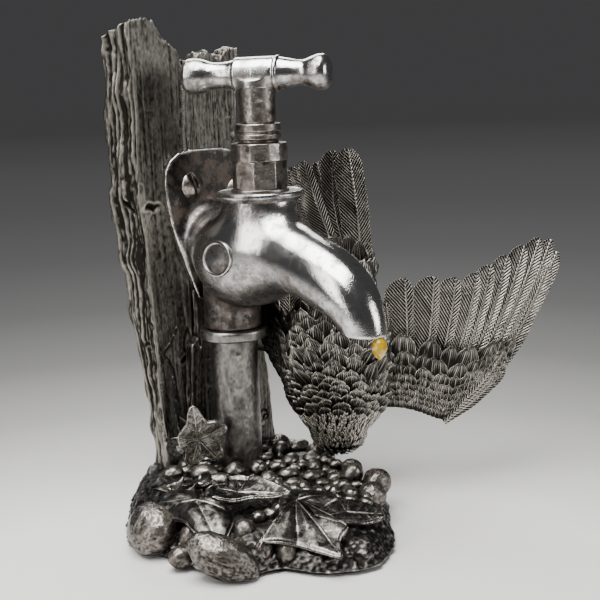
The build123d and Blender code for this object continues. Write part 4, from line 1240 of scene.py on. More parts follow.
def build_ivy():
    """Ivy leaf facing the front left, its rim bent forward, and a round one beside it."""
    right = np.array([cos(FACING), sin(FACING), 0])
    out = np.array([sin(FACING), -cos(FACING), 0])
    centre = np.array([-20.5, 20.5, 27])
    flat = Soup()
    sheet_leaf(flat, [(a, b, 0.9) for a, b in IVY_OUTLINE], (-2.6, 1.0, 0),
               [(-4.4, 16.8, 0), (8.2, 6.7, 0), (5.4, -8.0, 0), (-6.5, -10, 0), (-10.6, 2.6, 0)],
               rows=44, cols=300, dish=0.7, curl=0.2, thick=1.6, seed=451, wave=0.35, tone=0.62, puff=0.6)
    rim = [(-13 + 4.4 * cos(k * pi / 5), -2 + 4.2 * sin(k * pi / 5), 1.0) for k in range(10)]
    sheet_leaf(flat, rim, (-13, -2, 0), [(-9.4, -1.2, 0), (-16.4, -4.0, 0), (-14, 1.6, 0)],
               rows=24, cols=120, dish=0.5, curl=0.2, thick=1.6, seed=457, wave=0.2, tone=0.6, puff=0.5)
    flat.points = [centre + part[:, :1] * right + part[:, 1:2] * Z_AXIS + part[:, 2:] * out
                   for part in flat.points]
    flat.make("ivy_leaves", LEAF, stands_for=["ivy_sprig"])


def build_vine():
    """Thin vine up the front of the post, and the stalk of the ivy leaf."""
    vine = Soup()
    line = curve_through([(-20, 38.0, 77), (-24.6, 37.6, 70), (-28.4, 37.6, 65.6), (-25.4, 37.6, 60.5),
                          (-24, 37.4, 54), (-24.4, 36.6, 40), (-24, 34.4, 30), (-24, 31, 18),
                          (-25, 29, 13)], 240)
    points, faces = tube(line, np.linspace(0.75, 1.3, 240) + 0.08 * np.sin(np.arange(240) * 0.23), 14)
    vine.add(points + 0.12 * fbm(points / 1.4, 2, 461)[:, None], faces, 0.55 + 0.3 * noise(points / 1.2, 463))
    stalk = curve_through([(-24, 34, 36), (-22.5, 27, 33), (-21.5, 21.5, 30)], 50)
    points, faces = tube(stalk, np.linspace(0.8, 0.5, 50), 12)
    vine.add(points, faces, 0.6 + 0.2 * noise(points / 1.2, 465))
    vine.make("vine_shoot", LEAF, stands_for=["vine_stem"])


def build_tendril():
    """Curled tendril to the right of the pipe."""
    tendril = Soup()
    turn = np.linspace(0, 2.6 * pi, 160)
    shrink = 3.4 * np.exp(-turn / 6.0)
    curl = np.stack([25.0 + shrink * np.sin(turn - 1.2), 35 - 0.25 * turn,
                     25.6 + shrink * np.cos(turn - 1.2)], 1)
    start = curve_through([(22, 35, 12.5), (21.4, 35, 20), curl[0]], 60)[:-1]
    points, faces = tube(np.vstack([start, curl]), np.linspace(0.9, 0.5, 219), 12)
    tendril.add(points, faces, 0.6 + 0.25 * noise(points / 1.2, 467))
    tendril.make("tendril_curl", LEAF, stands_for=["curled_tendril"])


# ------------------------------------------------------------------ the sparrow
# Everything here is worked out in the bird's own frame: r to its outstretched wing, z up, n out of its back.
BIRD_FRAME = np.array([[cos(FACING), sin(FACING), 0], [0, 0, 1], [sin(FACING), -cos(FACING), 0]])
BIRD_ORIGIN = np.array([33.4, -4.6, 0])

# z, left side, right side, half-depth, middle of the depth, from crown to rump
TRUNK = [(15.0, 1.4, 2.4, 0.4, 1.0), (15.9, -3.4, 7.4, 5.4, 1.0), (18.0, -6.8, 11.6, 8.2, 1.0),
         (21.0, -8.6, 13.8, 9.8, 1.0), (26.0, -10.4, 15.6, 10.8, 1.0), (30.3, -13.4, 19.8, 11.4, 0.6),
         (36.0, -16.6, 24.0, 12.8, 0.0), (41.0, -19.1, 26.4, 14.4, 0.0), (52.0, -21.6, 27.6, 16.2, 0.0),
         (66.0, -21.9, 26.4, 15.6, 0.0), (75.0, -18.6, 23.4, 13.6, 0.0), (82.0, -14.0, 20.6, 11.8, -1.0),
         (95.0, -6.6, 18.4, 7.8, -3.4), (104.0, -1.0, 17.0, 3.4, -6.4), (109.0, 3.0, 14.0, 0.8, -8.0)]


def to_world(local):
    """Bird's own coordinates to the frame's."""
    return BIRD_ORIGIN + local @ BIRD_FRAME


def trunk_point(angle, z):
    """Point on the bird's skin; angle 0 is its outstretched side, 90 degrees its back."""
    heights, left, right, deep, middle = np.array(TRUNK).T
    lo, hi = np.interp(z, heights, left), np.interp(z, heights, right)
    depth, centre = np.interp(z, heights, deep), np.interp(z, heights, middle)
    return np.stack([(lo + hi) / 2 + (hi - lo) / 2 * np.cos(angle), z + 0 * angle,
                     centre + depth * np.sin(angle)], -1)


def trunk_frame(angle, z):
    """Skin point with its outward normal and the direction towards the tail."""
    here = trunk_point(angle, z)
    around = trunk_point(angle + 0.02, z) - trunk_point(angle - 0.02, z)
    along = trunk_point(angle, z + 0.4) - trunk_point(angle, z - 0.4)
    normal = unit(np.cross(around, along))
    outward = here - np.stack([0 * z + 3, z, 0 * z], -1)
    normal = normal * np.sign((normal * outward).sum(-1, keepdims=True) + 1e-9)
    return here, normal, unit(along)


def shingles(soup, base, normal, along, width, length, rows=8, cols=15, lift=0.9, dome=0.35, ribs=3,
             spread=0.16, rib=0.10, sink=0.5, seed=0, barb=0.36, tone=0.0):
    """Many small overlapping feathers at once: rounded tips, domed, with raised barbs and rim."""
    count = len(base)
    side = unit(np.cross(along, normal))
    v = np.linspace(0, 1, rows)[None, :, None]
    u = np.linspace(-1, 1, cols)[None, None, :]
    breadth = np.where(v < 0.55, 0.78 + 0.40 * v, np.sqrt(np.maximum(1 - ((v - 0.55) / 0.455) ** 2, 0.015)))
    width, length = width[:, None, None], length[:, None, None]
    wobble = (np.sin(np.arange(count) * 2.4 + seed) * spread)[:, None, None]
    across = width / 2 * u * breadth + wobble * length * v
    forward = length * (v - 0.12 * u ** 2 * v)
    barbs = np.cos(u * ribs * 2 * pi + v * 2.5 * np.abs(u))
    rim = smooth_step(0.80, 1.0, np.maximum(np.abs(u), v ** 3))
    quill = np.exp(-(u / 0.12) ** 2)
    height = -sink + (sink + lift) * np.sin(np.clip(v, 0, 0.8) / 0.8 * pi / 2) - dome * width * 0.16 * u ** 2
    height = height - 0.25 * lift * smooth_step(0.85, 1.0,
                                                v) + rib * barbs * (v > 0.05) + 0.12 * quill - 0.12 * rim
    height = height + 0 * across
    points = (base[:, None, None] + side[:, None, None] * across[..., None]
              + along[:, None, None] * forward[..., None]
              + normal[:, None, None] * height[..., None])
    relief = tone + barb * barbs + 0.50 * v + 0.22 * quill + 0.50 * rim * (v > 0.3) - 0.55 * (1 - v) ** 2
    relief = relief + 0.10 * np.sin(np.arange(count) * 5.1 + seed)[:, None, None] + 0 * across
    quads = grid_faces(rows, cols)
    faces = (quads[None] + (np.arange(count) * rows * cols)[:, None, None]).reshape(-1, 4)
    soup.add(to_world(points.reshape(-1, 3)), faces, relief)


def long_feather(soup, spine, width, pitch=1.15, quill=0.5, twist=0.0, camber=0.35, rows=230, thick=0.8,
                 seed=0, blunt=0.82, roll=0.0, tone=0.38):
    """Flight or tail feather along a spine of (r, z, n): raised shaft, slanted barbs, closed below.

    quill is where the shaft lies across the vane, from 0 at one edge to 1 at the other."""
    line = curve_through(spine, rows)
    along = unit(np.gradient(line, axis=0))
    normal = np.tile([0.0, 0.0, 1.0], (rows, 1))
    side = unit(np.cross(along, normal))
    turn = radians(roll) + radians(twist) * np.linspace(0, 1, rows)[:, None] ** 1.5
    side, normal = side * np.cos(turn) + normal * np.sin(turn), normal * np.cos(turn) - side * np.sin(turn)
    t = np.linspace(0, 1, rows)
    reach = np.linalg.norm(np.diff(line, axis=0), axis=1).sum()
    shape = np.where(t < blunt, 0.55 + 0.45 * smooth_step(0, 0.45, t),
                     np.sqrt(np.maximum(1 - ((t - blunt) / (1 - blunt + 0.004)) ** 2, 0.0)))
    top = int(np.clip(width * 5.2, 19, 61))
    u = np.concatenate([np.linspace(-1, 1, top), np.linspace(1, -1, 9)[1:-1]])
    cols = len(u)
    upper = np.arange(cols) < top
    left, right = width * quill, width * (1 - quill)
    uu, tt = np.meshgrid(u, t)
    nick = noise(np.column_stack([tt.ravel() * reach / 2.6, uu.ravel() > 0, tt.ravel() * 0 + seed]),
                 seed).reshape(uu.shape)
    ragged = 1 - 0.05 * smooth_step(0.3, 0.8, nick) * smooth_step(0.7, 1, np.abs(uu))
    offset = np.where(uu < 0, uu * left, uu * right) * shape[:, None] * ragged
    slant = tt * reach - np.abs(offset) * 1.25
    barbs = np.cos(2 * pi * slant / pitch + 0.7 * nick)
    shaft = np.exp(-(offset / (0.42 + 0.30 * (1 - tt))) ** 2)
    rim = smooth_step(0.90, 1.0, np.abs(uu))
    groove = smooth_step(0.55, 0.95,
                         noise(np.column_stack([slant.ravel() / 5.5, (uu.ravel() > 0) * 3.0,
                                                tt.ravel() * 0 + seed + 7]), seed + 7).reshape(uu.shape))
    curve = -camber * (offset / max(width / 2, 1e-6)) ** 2
    height = curve + np.where(upper, 0.27 * barbs * (1 - shaft) + 0.55 * shaft - 0.25 * groove,
                              -thick * (1 - rim) + 0.16 * barbs - 0.35 * shaft)
    points = line[:, None] + side[:, None] * offset[..., None] + normal[:, None] * height[..., None]
    relief = (tone + 0.50 * barbs + 0.60 * shaft + 0.35 * rim - 0.35 * groove
              - 0.30 * (1 - tt) ** 2 + 0.10 * nick)
    soup.add(to_world(points.reshape(-1, 3)), [grid_faces(rows, cols, close_cols=True),
                                               np.arange(cols)[None]], relief)


def build_skin():
    """Skin that closes the gaps under the feathers; it is kept dark, as patina and as painted shade in those
    gaps.
    """
    rows, cols = 150, 110
    z = np.concatenate([np.linspace(15, 21, 40), np.linspace(21, 109, rows - 39)[1:]])
    angle = np.linspace(0, 2 * pi, cols, endpoint=False)
    zz, aa = np.meshgrid(z, angle, indexing="ij")
    here, normal, _along = trunk_frame(aa.ravel(), zz.ravel())
    grain = noise(here * np.array([1.6, 0.7, 1.6]), 501)
    skin = here + normal * (0.2 * grain - 0.25)[:, None]
    # the low relief of 0.22 paints the skin nearly black: patina and painted shade between the feathers
    piece("sparrow_skin", to_world(skin), [grid_faces(rows, cols, close_cols=True), np.arange(cols)[None],
                                           np.arange(cols)[None] + (rows - 1) * cols],
          FEATHER, 0.22 + 0.15 * grain, stands_for=["bird_body"])


def length_around(z, samples):
    """Distance round the trunk at a height."""
    ring = trunk_point(np.linspace(0, 2 * pi, samples), np.full(samples, z))
    return np.linalg.norm(np.diff(ring, axis=0), axis=1).sum()


def build_body_feathers():
    """Rows of contour feathers from neck to rump; they grow larger on the way."""
    body = Soup()
    z = 33.0
    row = 0
    while z < 102:
        grow = smooth_step(34, 78, z)
        width = 4.3 + 2.9 * grow
        step = 2.7 + 1.9 * grow
        count = max(8, int(length_around(z, 61) / (width * 0.74)))
        k = np.arange(count)
        angle = (k + 0.5 * (row % 2) + 0.16 * np.sin(k * 3.7 + row)) * 2 * pi / count
        level = (z + 0.35 * step * np.sin(k * 2.1 + row * 1.3)
                 + 2.2 * np.cos(angle - pi / 2) * (1 - grow))
        here, normal, along = trunk_frame(angle, level)
        lean = np.cross(normal, along) * (0.35 * np.cos(angle))[:, None]
        shingles(body, here, normal, unit(along - lean), np.full(count, width * 1.34),
                 np.full(count, step * 2.3), rows=13, cols=25, lift=1.25 + 0.35 * grow, dome=0.5, ribs=4,
                 sink=0.5, rib=0.08, seed=row, barb=0.2)
        z += step
        row += 1
    body.make("contour_feathers", FEATHER, stands_for=["bird_body"])


def build_head_feathers():
    """Rows of small feathers on crown and cheeks."""
    head = Soup()
    for row, z in enumerate(np.linspace(15.4, 35, 22)):
        count = max(7, int(length_around(z, 41) / 1.15))
        k = np.arange(count)
        angle = (k + 0.5 * (row % 2)) * 2 * pi / count + 0.05 * np.sin(k * 4.1 + row)
        level = z + 0.5 * np.sin(k * 3.3 + row)
        here, normal, along = trunk_frame(angle, level)
        sway = np.cross(normal, along) * (0.25 * np.sin(angle * 3 + z * 0.4))[:, None]
        shingles(head, here, normal, unit(along + sway), np.full(count, 1.35), np.full(count, 3.6),
                 rows=5, cols=5, lift=0.45, dome=0.7, ribs=1, rib=0.06, sink=0.25, spread=0.25,
                 seed=row + 50)
    head.make("crown_feathers", FEATHER, stands_for=["bird_head"])


# leading edge of the outstretched wing from shoulder to thumb, and where its feathers point at each end
WING_EDGE = [(20, 37), (31, 36.6), (39, 34.8), (45, 32.4), (50, 30.8), (56, 32.2), (65.6, 41.2), (74.4, 48.4)]
# base r, base z, tip r, tip z, width, shaft place, sideways bend
PRIMARIES = [(71.5, 48, 97.4, 99.0, 7.6, 0.40, -1.2), (69.5, 47, 101.6, 104.6, 8.4, 0.52, -1.6),
             (67, 46, 99.0, 110.0, 9.2, 0.60, -1.8), (64, 46, 94.0, 110.8, 9.8, 0.64, -2.0),
             (60.6, 46, 87.0, 107.6, 10.2, 0.66, -2.2), (57.2, 46, 79.4, 103.6, 10.2, 0.68, -2.2),
             (54, 46, 72.0, 99.6, 10.2, 0.70, -2.0), (51, 46, 65.6, 96.2, 10.0, 0.70, -1.8)]
SECONDARIES = [(46, 46, 56.4, 94.6, 12.0, 0.72, -1.4), (40.6, 46, 46.8, 95.4, 12.6, 0.74, -1.0),
               (34, 46, 34.0, 94.8, 13.4, 0.74, -0.6), (28.5, 44, 25.4, 84.0, 11.0, 0.70, -0.2)]


def wing_bow(r, z):
    """Out-of-plane bow of the outstretched wing."""
    return 1.2 + 3.4 * np.sin(np.clip((np.asarray(r) - 20) / 85, 0,
                                      1) * pi) - 0.0011 * (np.asarray(z) - 60) ** 2


def feather_line(root, tip, bend, shares=(0, 0.35, 0.7, 1.0)):
    """Share, r and z of points along a feather that is bent sideways between root and tip."""
    (r0, z0), (r1, z1) = root, tip
    return [(t, r0 + (r1 - r0) * t - bend * sin(t * pi), z0 + (z1 - z0) * t) for t in shares]


def flight_row(name, table, node, level, layer):
    """One layer of flight feathers on the outstretched wing; each is laid a little over the last."""
    soup = Soup()
    for i, (r0, z0, r1, z1, width, quill, bend) in enumerate(table):
        line = feather_line((r0, z0), (r1, z1), bend)
        spine = [(r, z, float(wing_bow(r, z)) + level + layer * i) for _, r, z in line]
        long_feather(soup, spine, width, quill=quill, seed=600 + 10 * i, pitch=1.55 + 0.02 * width, roll=4)
    soup.make(name, FEATHER, stands_for=[node])


def edge_feathers(edge, start_aim, end_aim, counts, rows_at, node_name, node, sides=(1,), bow=wing_bow,
                  fold=None):
    """Rows of coverts between a leading edge and the flight feathers, on the given sides of the wing."""
    soup = Soup()
    for face in sides:
        for k, (offset, width, length) in enumerate(rows_at):
            line = curve_through([(a, b, 0) for a, b in edge], 200)[:, :2]
            count = max(4, int(counts / width))
            t = (np.arange(count) + 0.5 * (k % 2) + 0.12 * np.sin(np.arange(count) * 2.9 + k)) / count
            t = np.clip(t, 0.0, 0.985)
            base = np.stack([np.interp(t, np.linspace(0, 1, 200), line[:, j]) for j in range(2)], -1)
            aim = unit(np.array(start_aim)[None] * (1 - t[:, None]) + np.array(end_aim)[None] * t[:, None])
            shrink = 1 - 0.30 * smooth_step(0.5, 1.0, t)
            place = base + aim * (offset * shrink)[:, None]
            n = bow(place[:, 0], place[:, 1]) + face * (2.0 + 0.02 * offset)
            here = np.column_stack([place, n])
            along = np.column_stack([aim, np.zeros(count)])
            normal = np.tile([0.0, 0.0, float(face)], (count, 1))
            if fold:
                here, along, normal = fold(here), fold(along, turn_only=True), fold(normal, turn_only=True)
            shingles(soup, here, normal, along, width * 1.22 * shrink, length * shrink, rows=10, cols=19,
                     lift=1.35, dome=0.46, ribs=1.6 + 0.42 * width, rib=0.12, sink=0.3, seed=k * 7 + 3,
                     barb=0.26, tone=-0.06)
    soup.make(node_name, FEATHER, stands_for=[node])


COVERT_ROWS = [(-0.8, 3.0, 4.6), (1.3, 3.2, 5.0), (3.7, 3.5, 5.6), (6.4, 3.9, 6.2), (9.4, 4.4, 7.0),
               (12.8, 5.0, 8.2), (16.8, 5.8, 10.4), (21.4, 6.6, 13.6)]


def wing_core(name, outline, node, bow, half=1.4, fold=None):
    """Thin cushion that fills the arm of a wing between its two feathered faces."""
    rim = curve_through([(a, b, 0) for a, b in outline + outline[:1]], 161)[:-1]
    centre = rim.mean(axis=0)
    share = np.linspace(0.02, 1, 24)
    flat = centre + share[:, None, None] * (rim - centre)
    swell = half * np.sqrt(np.maximum(1 - share ** 12, 0))[:, None]
    sheets = []
    for face in (1, -1):
        n = bow(flat[..., 0], flat[..., 1]) + face * swell
        sheets.append(np.stack([flat[..., 0], flat[..., 1], n], -1).reshape(-1, 3))
    local = np.vstack(sheets)
    if fold:
        local = fold(local)
    grain = noise(local * 2.0, 511)
    quads = grid_faces(24, 160, close_cols=True)
    piece(name, to_world(local), [quads, quads[:, ::-1] + len(sheets[0])], FEATHER, 0.5 + 0.3 * grain,
          stands_for=[node])


THUMB_FEATHERS = [((50, 29.6), (77.4, 53.0), 5.4), ((53, 33.0), (77.0, 56.6), 5.0),
                  ((57, 37.6), (75.6, 60.0), 4.6)]


def build_left_wing():
    """Outstretched wing: three layers of flight feathers, arm, coverts and thumb feathers."""
    flight_row("outer_primaries", PRIMARIES[:4], "left_wing", 1.9, -0.30)
    flight_row("inner_primaries", PRIMARIES[4:], "left_wing", 0.7, -0.30)
    flight_row("secondaries", SECONDARIES, "left_wing", -0.5, -0.30)
    wing_core("wing_arm", [(18, 40), (31, 38.2), (40, 36), (50, 32.0), (56, 33.4), (65, 42), (73, 49),
                           (71, 56), (58, 58), (40, 60), (22, 62)], "left_wing", wing_bow, half=2.3)
    edge_feathers(WING_EDGE, (-0.06, 1.0), (0.42, 0.90), 92, COVERT_ROWS[:5], "lesser_coverts",
                  "left_wing", sides=(1, -1))
    edge_feathers(WING_EDGE, (-0.06, 1.0), (0.42, 0.90), 88, COVERT_ROWS[5:], "greater_coverts",
                  "left_wing", sides=(1, -1))
    thumb = Soup()
    for i, (root, tip, width) in enumerate(THUMB_FEATHERS):
        line = feather_line(root, tip, -1.8, (0, 0.4, 0.75, 1))
        spine = [(r, z, 7.7 + 0.4 * i - 1.2 * t) for t, r, z in line]
        long_feather(thumb, spine, width, rows=150, seed=700 + i, pitch=1.7, tone=0.36)
    thumb.make("alula", FEATHER, stands_for=["left_wing"])


RIGHT_TURN = radians(-42)


def fold_right(local, turn_only=False):
    """Carries the half-folded wing from its own plane to its place behind the pipe."""
    local = np.asarray(local, float)
    c, s = cos(RIGHT_TURN), sin(RIGHT_TURN)
    turned = np.stack([local[..., 0] * c + local[..., 2] * s, local[..., 1],
                       -local[..., 0] * s + local[..., 2] * c], -1)
    return turned if turn_only else turned + np.array([-15.0, 0, -2.0])


RIGHT_FLIGHT = [(-6, 50, -19.4, 112, 7.0, 0.36, 3.4), (-5, 50, -15.6, 111, 7.6, 0.34, 3.0),
                (-4, 50, -11.6, 108, 7.8, 0.34, 2.4), (-3, 50, -8.4, 102, 7.8, 0.34, 2.0),
                (-2, 50, -5.4, 96, 8.2, 0.34, 1.6), (0, 50, -2.6, 90, 8.6, 0.34, 1.0),
                (2, 50, 0.8, 84, 8.6, 0.34, 0.6)]


def flat_bow(r, z):
    """Height of the folded wing's middle surface, which is flat."""
    return 0.2 + 0 * np.asarray(r)


def build_right_wing():
    """Half-folded wing behind the pipe: flight feathers, arm and coverts."""
    soup = Soup()
    for i, (r0, z0, r1, z1, width, quill, bend) in enumerate(RIGHT_FLIGHT):
        line = feather_line((r0, z0), (r1, z1), bend)
        spine = [tuple(fold_right((r, z, -0.8 + 0.4 * i))) for _, r, z in line]
        long_feather(soup, spine, width, quill=quill, rows=170, seed=750 + 10 * i, pitch=1.6)
    soup.make("folded_flight_feathers", FEATHER, stands_for=["right_wing"])
    edge = [(4, 42), (-4, 43.5), (-10, 49), (-16, 57), (-21, 66), (-24.6, 77)]
    wing_core("folded_arm", [(4, 44), (-7, 46.4), (-15, 58), (-22, 70), (-23, 80), (-14, 84), (0, 82)],
              "right_wing", flat_bow, fold=fold_right)
    edge_feathers(edge, (0.0, 1.0), (0.25, 0.97), 66, COVERT_ROWS[1:], "folded_coverts", "right_wing",
                  sides=(1, -1), bow=flat_bow, fold=fold_right)


# spine points r, z, n, then width, shaft place and twist
TAIL_FEATHERS = [([(6, 86, -5.6), (-2.5, 114, -8.2), (-10.4, 132, -9.2), (-16.6, 144.6, -9.8)], 9.6, 0.5,
                  0), ([(7, 86, -5.4), (0.6, 112, -7.4), (-6.2, 130, -7.6), (-12.6, 145.6, -8.2)], 10.0,
                       0.6, 10), ([(8, 86, -5.2), (2.0, 110, -6.2), (-4.2, 129, -6.0),
                                   (-9.6, 147.4, -6.4)], 10.4, 0.70, 22),
                 ([(9, 86, -6.0), (4.6, 111, -8.4), (0, 129, -8.8), (-3.6, 147, -9.4)], 10.0, 0.4, 0),
                 ([(11, 86, -5.0), (6.8, 110, -7.0), (3.4, 130, -7.4), (3.6, 151.6, -8.0)], 10.8, 0.62,
                  6), ([(13.6, 86, -4.2), (14.6, 105, -5.0), (13.4, 126, -4.8), (10.2, 152.6, -5.6)],
                       13.2, 0.58, -8)]


def build_tail():
    """Tail feathers, the coverts over their roots, and the feathers over the shoulders."""
    soup = Soup()
    for i, (spine, width, quill, twist) in enumerate(TAIL_FEATHERS):
        long_feather(soup, spine, width, quill=quill, twist=twist, rows=250, seed=800 + 10 * i, pitch=1.7,
                     camber=0.9, thick=1.0, blunt=0.86, tone=0.24)
    soup.make("tail_feathers", FEATHER, stands_for=["bird_tail"])
    coverts = Soup()
    rows = [(4.4, 101, -0.2, 8.2, 14.5), (9.4, 100, 0.0, 8.6, 15.0), (14.6, 98, 0.1, 8.0, 14.0),
            (0.8, 96, -0.3, 7.0, 12.0), (17.8, 92, 0.2, 6.6, 12.0), (6.6, 93, 0.0, 7.6, 13),
            (12.2, 91, -0.1, 7.6, 13), (2.6, 90, -0.2, 6.8, 12), (16.4, 85, 0.1, 6.4, 12),
            (8.8, 86, 0.0, 7.0, 12)]
    r, z, aim, width, length = np.array(rows).T
    for face in (1, -1):
        here = np.column_stack([r, z, -4.8 + 4.4 * face * smooth_step(112, 84, z)])
        along = unit(np.column_stack([aim, np.ones(len(r)), np.full(len(r), -0.18 * face)]))
        normal = np.tile([0.0, 0.18, float(face)], (len(r), 1))
        shingles(coverts, here, unit(normal), along, width, length, rows=16, cols=27, lift=0.9, ribs=5,
                 seed=811)
    coverts.make("tail_coverts", FEATHER, stands_for=["bird_tail"])
    blades = Soup()
    for side in (-1, 1):
        r = np.array([3 + side * 12.5, 3 + side * 15.2, 3 + side * 16.0, 3 + side * 14.2, 3 + side * 10.5])
        z = np.array([49.0, 51.5, 55.0, 58.5, 57.0])
        here, normal, along = trunk_frame(np.arccos(np.clip((r - 3) / 25.5, -1, 1)), z)
        out = np.cross(normal, along) * (side * -0.42)
        shingles(blades, here + normal * 0.9, normal, unit(along + out), np.full(5, 7.0),
                 np.array([13, 14, 13.5, 12, 11.5]), rows=14, cols=25, lift=1.3, dome=0.6, ribs=5,
                 seed=821)
    blades.make("scapulars", FEATHER, stands_for=["bird_body"])


def build_bill():
    """Short seed-eater's bill."""
    beak = Soup()
    for lower in (0, 1):
        start = np.array([2.6, 22.5 + 1.4 * lower, -8.6])
        tip = np.array([2.6, 16.6 + 0.5 * lower, -16.6])
        line = start + (tip - start) * np.linspace(0, 1, 30)[:, None]
        line[:, 1] += 0.8 * np.sin(np.linspace(0, 1, 30) * pi) * (1 if lower else -1)
        radius = (2.5 - 0.5 * lower) * (1 - np.linspace(0, 1, 30) ** 1.5) + 0.18
        points, faces = tube(line, radius, 24)
        beak.add(to_world(points), faces, 0.6 + 0.2 * noise(points / 1.1, 831))
    beak.make("short_bill", FEATHER, stands_for=["bird_beak"])


def build_eyes():
    """Round eyes with their lids."""
    eyes = Soup()
    ball, faces = ball_grid(16, 26)
    for side in (-1, 1):
        centre = np.array([2.6 + side * 9.6, 23.4, -2.8])
        eyes.add(to_world(ball * 1.55 + centre), faces, np.full(len(ball), 0.75))
        ring = np.linspace(0, 2 * pi, 60)
        lid = centre + np.stack([np.full(60, side * 0.9), 1.75 * np.sin(ring), 1.75 * np.cos(ring)], 1)
        points, lid_faces = tube(lid, 0.34, 10)
        eyes.add(to_world(points), lid_faces, np.full(len(points), 0.5))
    eyes.make("round_eyes", PEBBLE, stands_for=["bird_eyes"])


def build_legs():
    """Legs whose toes close on the plank's edge."""
    legs = Soup()
    for z, reach in ((86, 31), (70, 33)):
        line = curve_through([(40, 6, z), (41, 24, z + 8), (36, 40, z + 4), (reach, 45, z)], 140)
        rings = 0.16 * smooth_step(0.2, 0.9, np.sin(np.linspace(0, 60, 140)))
        points, faces = tube(line, np.linspace(1.7, 0.95, 140) + rings, 14)
        legs.add(points, faces, 0.5 + 0.3 * noise(points / 1.2, 841))
        for dz in (-2.6, 0, 2.6):
            toe = curve_through([(reach, 45, z), (reach - 0.6, 42.4, z + dz * 0.7),
                                 (reach - 1.4, 39.4, z + dz)], 60)
            thin = np.linspace(0.85, 0.35, 60) + 0.1 * np.abs(np.sin(np.linspace(0, 12, 60)))
            points, faces = tube(toe, thin, 12)
            legs.add(points, faces, 0.5 + 0.3 * noise(points / 1.2, 843))
    legs.make("legs_and_toes", FEATHER, stands_for=["bird_legs"])


def build_bird():
    """Every part of the bird, from trunk to legs."""
    build_skin()
    build_body_feathers()
    build_head_feathers()
    build_left_wing()
    build_right_wing()
    build_tail()
    build_bill()
    build_eyes()
    build_legs()


# ------------------------------------------------------------------ camera, light and floor
CAMERA_PLACE = Vector((-282.1, -349.2, 179.2))
CAMERA_LENS = 63.8
SENSOR_WIDTH = 36.0
LAMP_TARGET = Vector((0, 0, 0.1))


def build_camera():
    """Camera in front and to the left, looking slightly down."""
    yaw, pitch, roll = radians(-40.87), radians(11.24), radians(-1.89)
    ahead = Vector((-sin(yaw) * cos(pitch), cos(yaw) * cos(pitch), -sin(pitch)))
    level = Vector((cos(yaw), sin(yaw), 0))
    upright = level.cross(ahead)
    right = level * cos(roll) + upright * sin(roll)
    up = upright * cos(roll) - level * sin(roll)
    data = bpy.data.cameras.new("camera")
    data.sensor_width = SENSOR_WIDTH
    data.lens = CAMERA_LENS
    camera = bpy.data.objects.new("camera", data)
    turned = Matrix((right, up, -ahead)).transposed().to_4x4()
    camera.matrix_world = Matrix.Translation(CAMERA_PLACE * MM) @ turned
    bpy.context.scene.collection.objects.link(camera)
    bpy.context.scene.camera = camera


def area_light(name, place, size, power, colour=(1, 1, 1)):
    """Rectangular lamp aimed at the middle of the sculpture."""
    data = bpy.data.lights.new(name, "AREA")
    data.shape = "RECTANGLE"
    data.size, data.size_y = size
    data.energy = power
    data.color = colour
    light = bpy.data.objects.new(name, data)
    light.location = Vector(place)
    light.rotation_euler = (LAMP_TARGET - Vector(place)).to_track_quat("-Z", "Y").to_euler()
    bpy.context.scene.collection.objects.link(light)


BACKDROP = (0.052, 0.052, 0.054, 1)
FLOOR_MIDDLE = (-0.131, -0.151, 0)


def grey_ramp(nodes, links, value, reach, stops):
    """Grey by (position, brightness) stops over values from 0 to reach."""
    ramp = nodes.new("ShaderNodeValToRGB")
    links.new(range_node(nodes, links, value, 0.0, reach), ramp.inputs["Fac"])
    elements = ramp.color_ramp.elements
    while len(elements) < len(stops):
        elements.new(0.5)
    for element, (position, share) in zip(elements, stops):
        element.position = position
        element.color = (share, share, share, 1)
    return ramp.outputs["Color"]


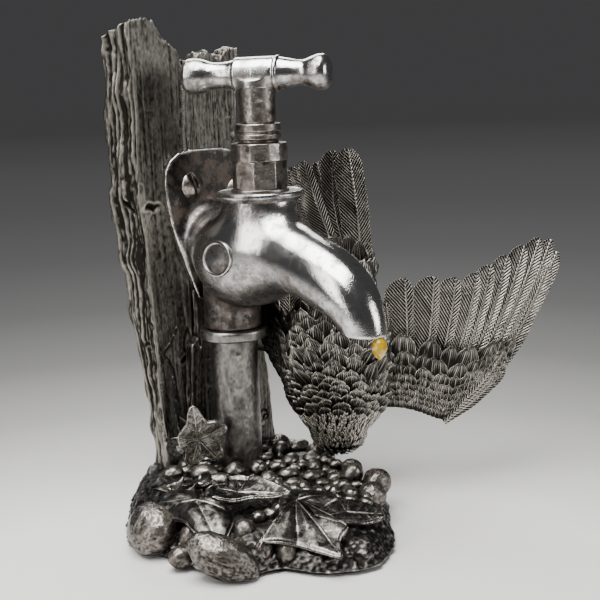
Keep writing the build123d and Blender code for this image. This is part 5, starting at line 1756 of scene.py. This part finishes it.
def build_floor():
    """Round pale floor that fades into the backdrop's grey far from the object."""
    material, nodes, links, shader = new_material("studio_floor")
    place = add(nodes, "ShaderNodeTexCoord").outputs["Object"]
    length = add(nodes, "ShaderNodeVectorMath", operation="LENGTH")
    shift = add(nodes, "ShaderNodeVectorMath", operation="SUBTRACT")
    shift.inputs[1].default_value = FLOOR_MIDDLE
    links.new(place, shift.inputs[0])
    links.new(shift.outputs["Vector"], length.inputs[0])
    fade = grey_ramp(nodes, links, length.outputs["Value"], 2.5,
                     [(0.03, 0.0), (0.078, 0.06), (0.105, 0.33), (0.14, 0.66), (0.19, 0.86), (0.26, 0.945),
                      (0.376, 0.985), (0.60, 1.0)])
    grain = add(nodes, "ShaderNodeTexNoise", Scale=30.0, Detail=3.0)
    links.new(place, grain.inputs["Vector"])
    paper = colour_mix(nodes, links, grain.outputs["Fac"], (0.86, 0.845, 0.82, 1), (0.91, 0.895, 0.87, 1))
    links.new(paper, shader.inputs["Base Color"])
    shader.inputs["Roughness"].default_value = 0.55
    # beyond the pale middle the floor is an emission whose grey falls with distance: painted light that fades
    # into the backdrop
    glow = grey_ramp(nodes, links, length.outputs["Value"], 5.0,
                     [(0.0, 0.14), (0.13, 0.118), (0.19, 0.108), (0.30, 0.089), (0.59, 0.067),
                      (1.0, BACKDROP[0])])
    far = nodes.new("ShaderNodeEmission")
    links.new(glow, far.inputs["Color"])
    mix = nodes.new("ShaderNodeMixShader")
    links.new(fade, mix.inputs["Fac"])
    links.new(shader.outputs["BSDF"], mix.inputs[1])
    links.new(far.outputs["Emission"], mix.inputs[2])
    links.new(mix.outputs["Shader"], nodes["Material Output"].inputs["Surface"])
    points, faces = lathe([(0.001, 0), (300, 0), (1500, 0), (9000, 0)], 96)
    mesh = bpy.data.meshes.new("floor")
    mesh.from_pydata((points * MM).tolist(), [], faces[:, ::-1].tolist())
    mesh.materials.append(material)
    floor = bpy.data.objects.new("floor", mesh)
    bpy.context.scene.collection.objects.link(floor)


def build_light():
    """Even dark surroundings and four lamps."""
    world = bpy.data.worlds.new("studio")
    bpy.context.scene.world = world
    world.use_nodes = True
    nodes = world.node_tree.nodes
    nodes["Background"].inputs["Color"].default_value = BACKDROP
    nodes["Background"].inputs["Strength"].default_value = 1.0
    area_light("overhead", (-0.2, -0.02, 0.85), (0.62, 0.7), 14.5)
    area_light("left", (-0.85, 0.05, 0.45), (0.35, 0.8), 4, (1.0, 0.99, 0.97))
    area_light("right", (0.45, -0.85, 0.35), (0.4, 0.5), 3, (0.98, 0.99, 1.0))
    area_light("back", (0.5, 0.7, 0.7), (0.6, 0.5), 5)


finish_cad_nodes()
build_tap()
build_handle()
build_pipe()
build_screws()
build_foot_screws()
build_badge()
build_drop()
build_timber()
build_ground()
build_stones()
build_leaves()
build_ivy()
build_vine()
build_tendril()
build_bird()
build_light()
build_camera()
build_floor()
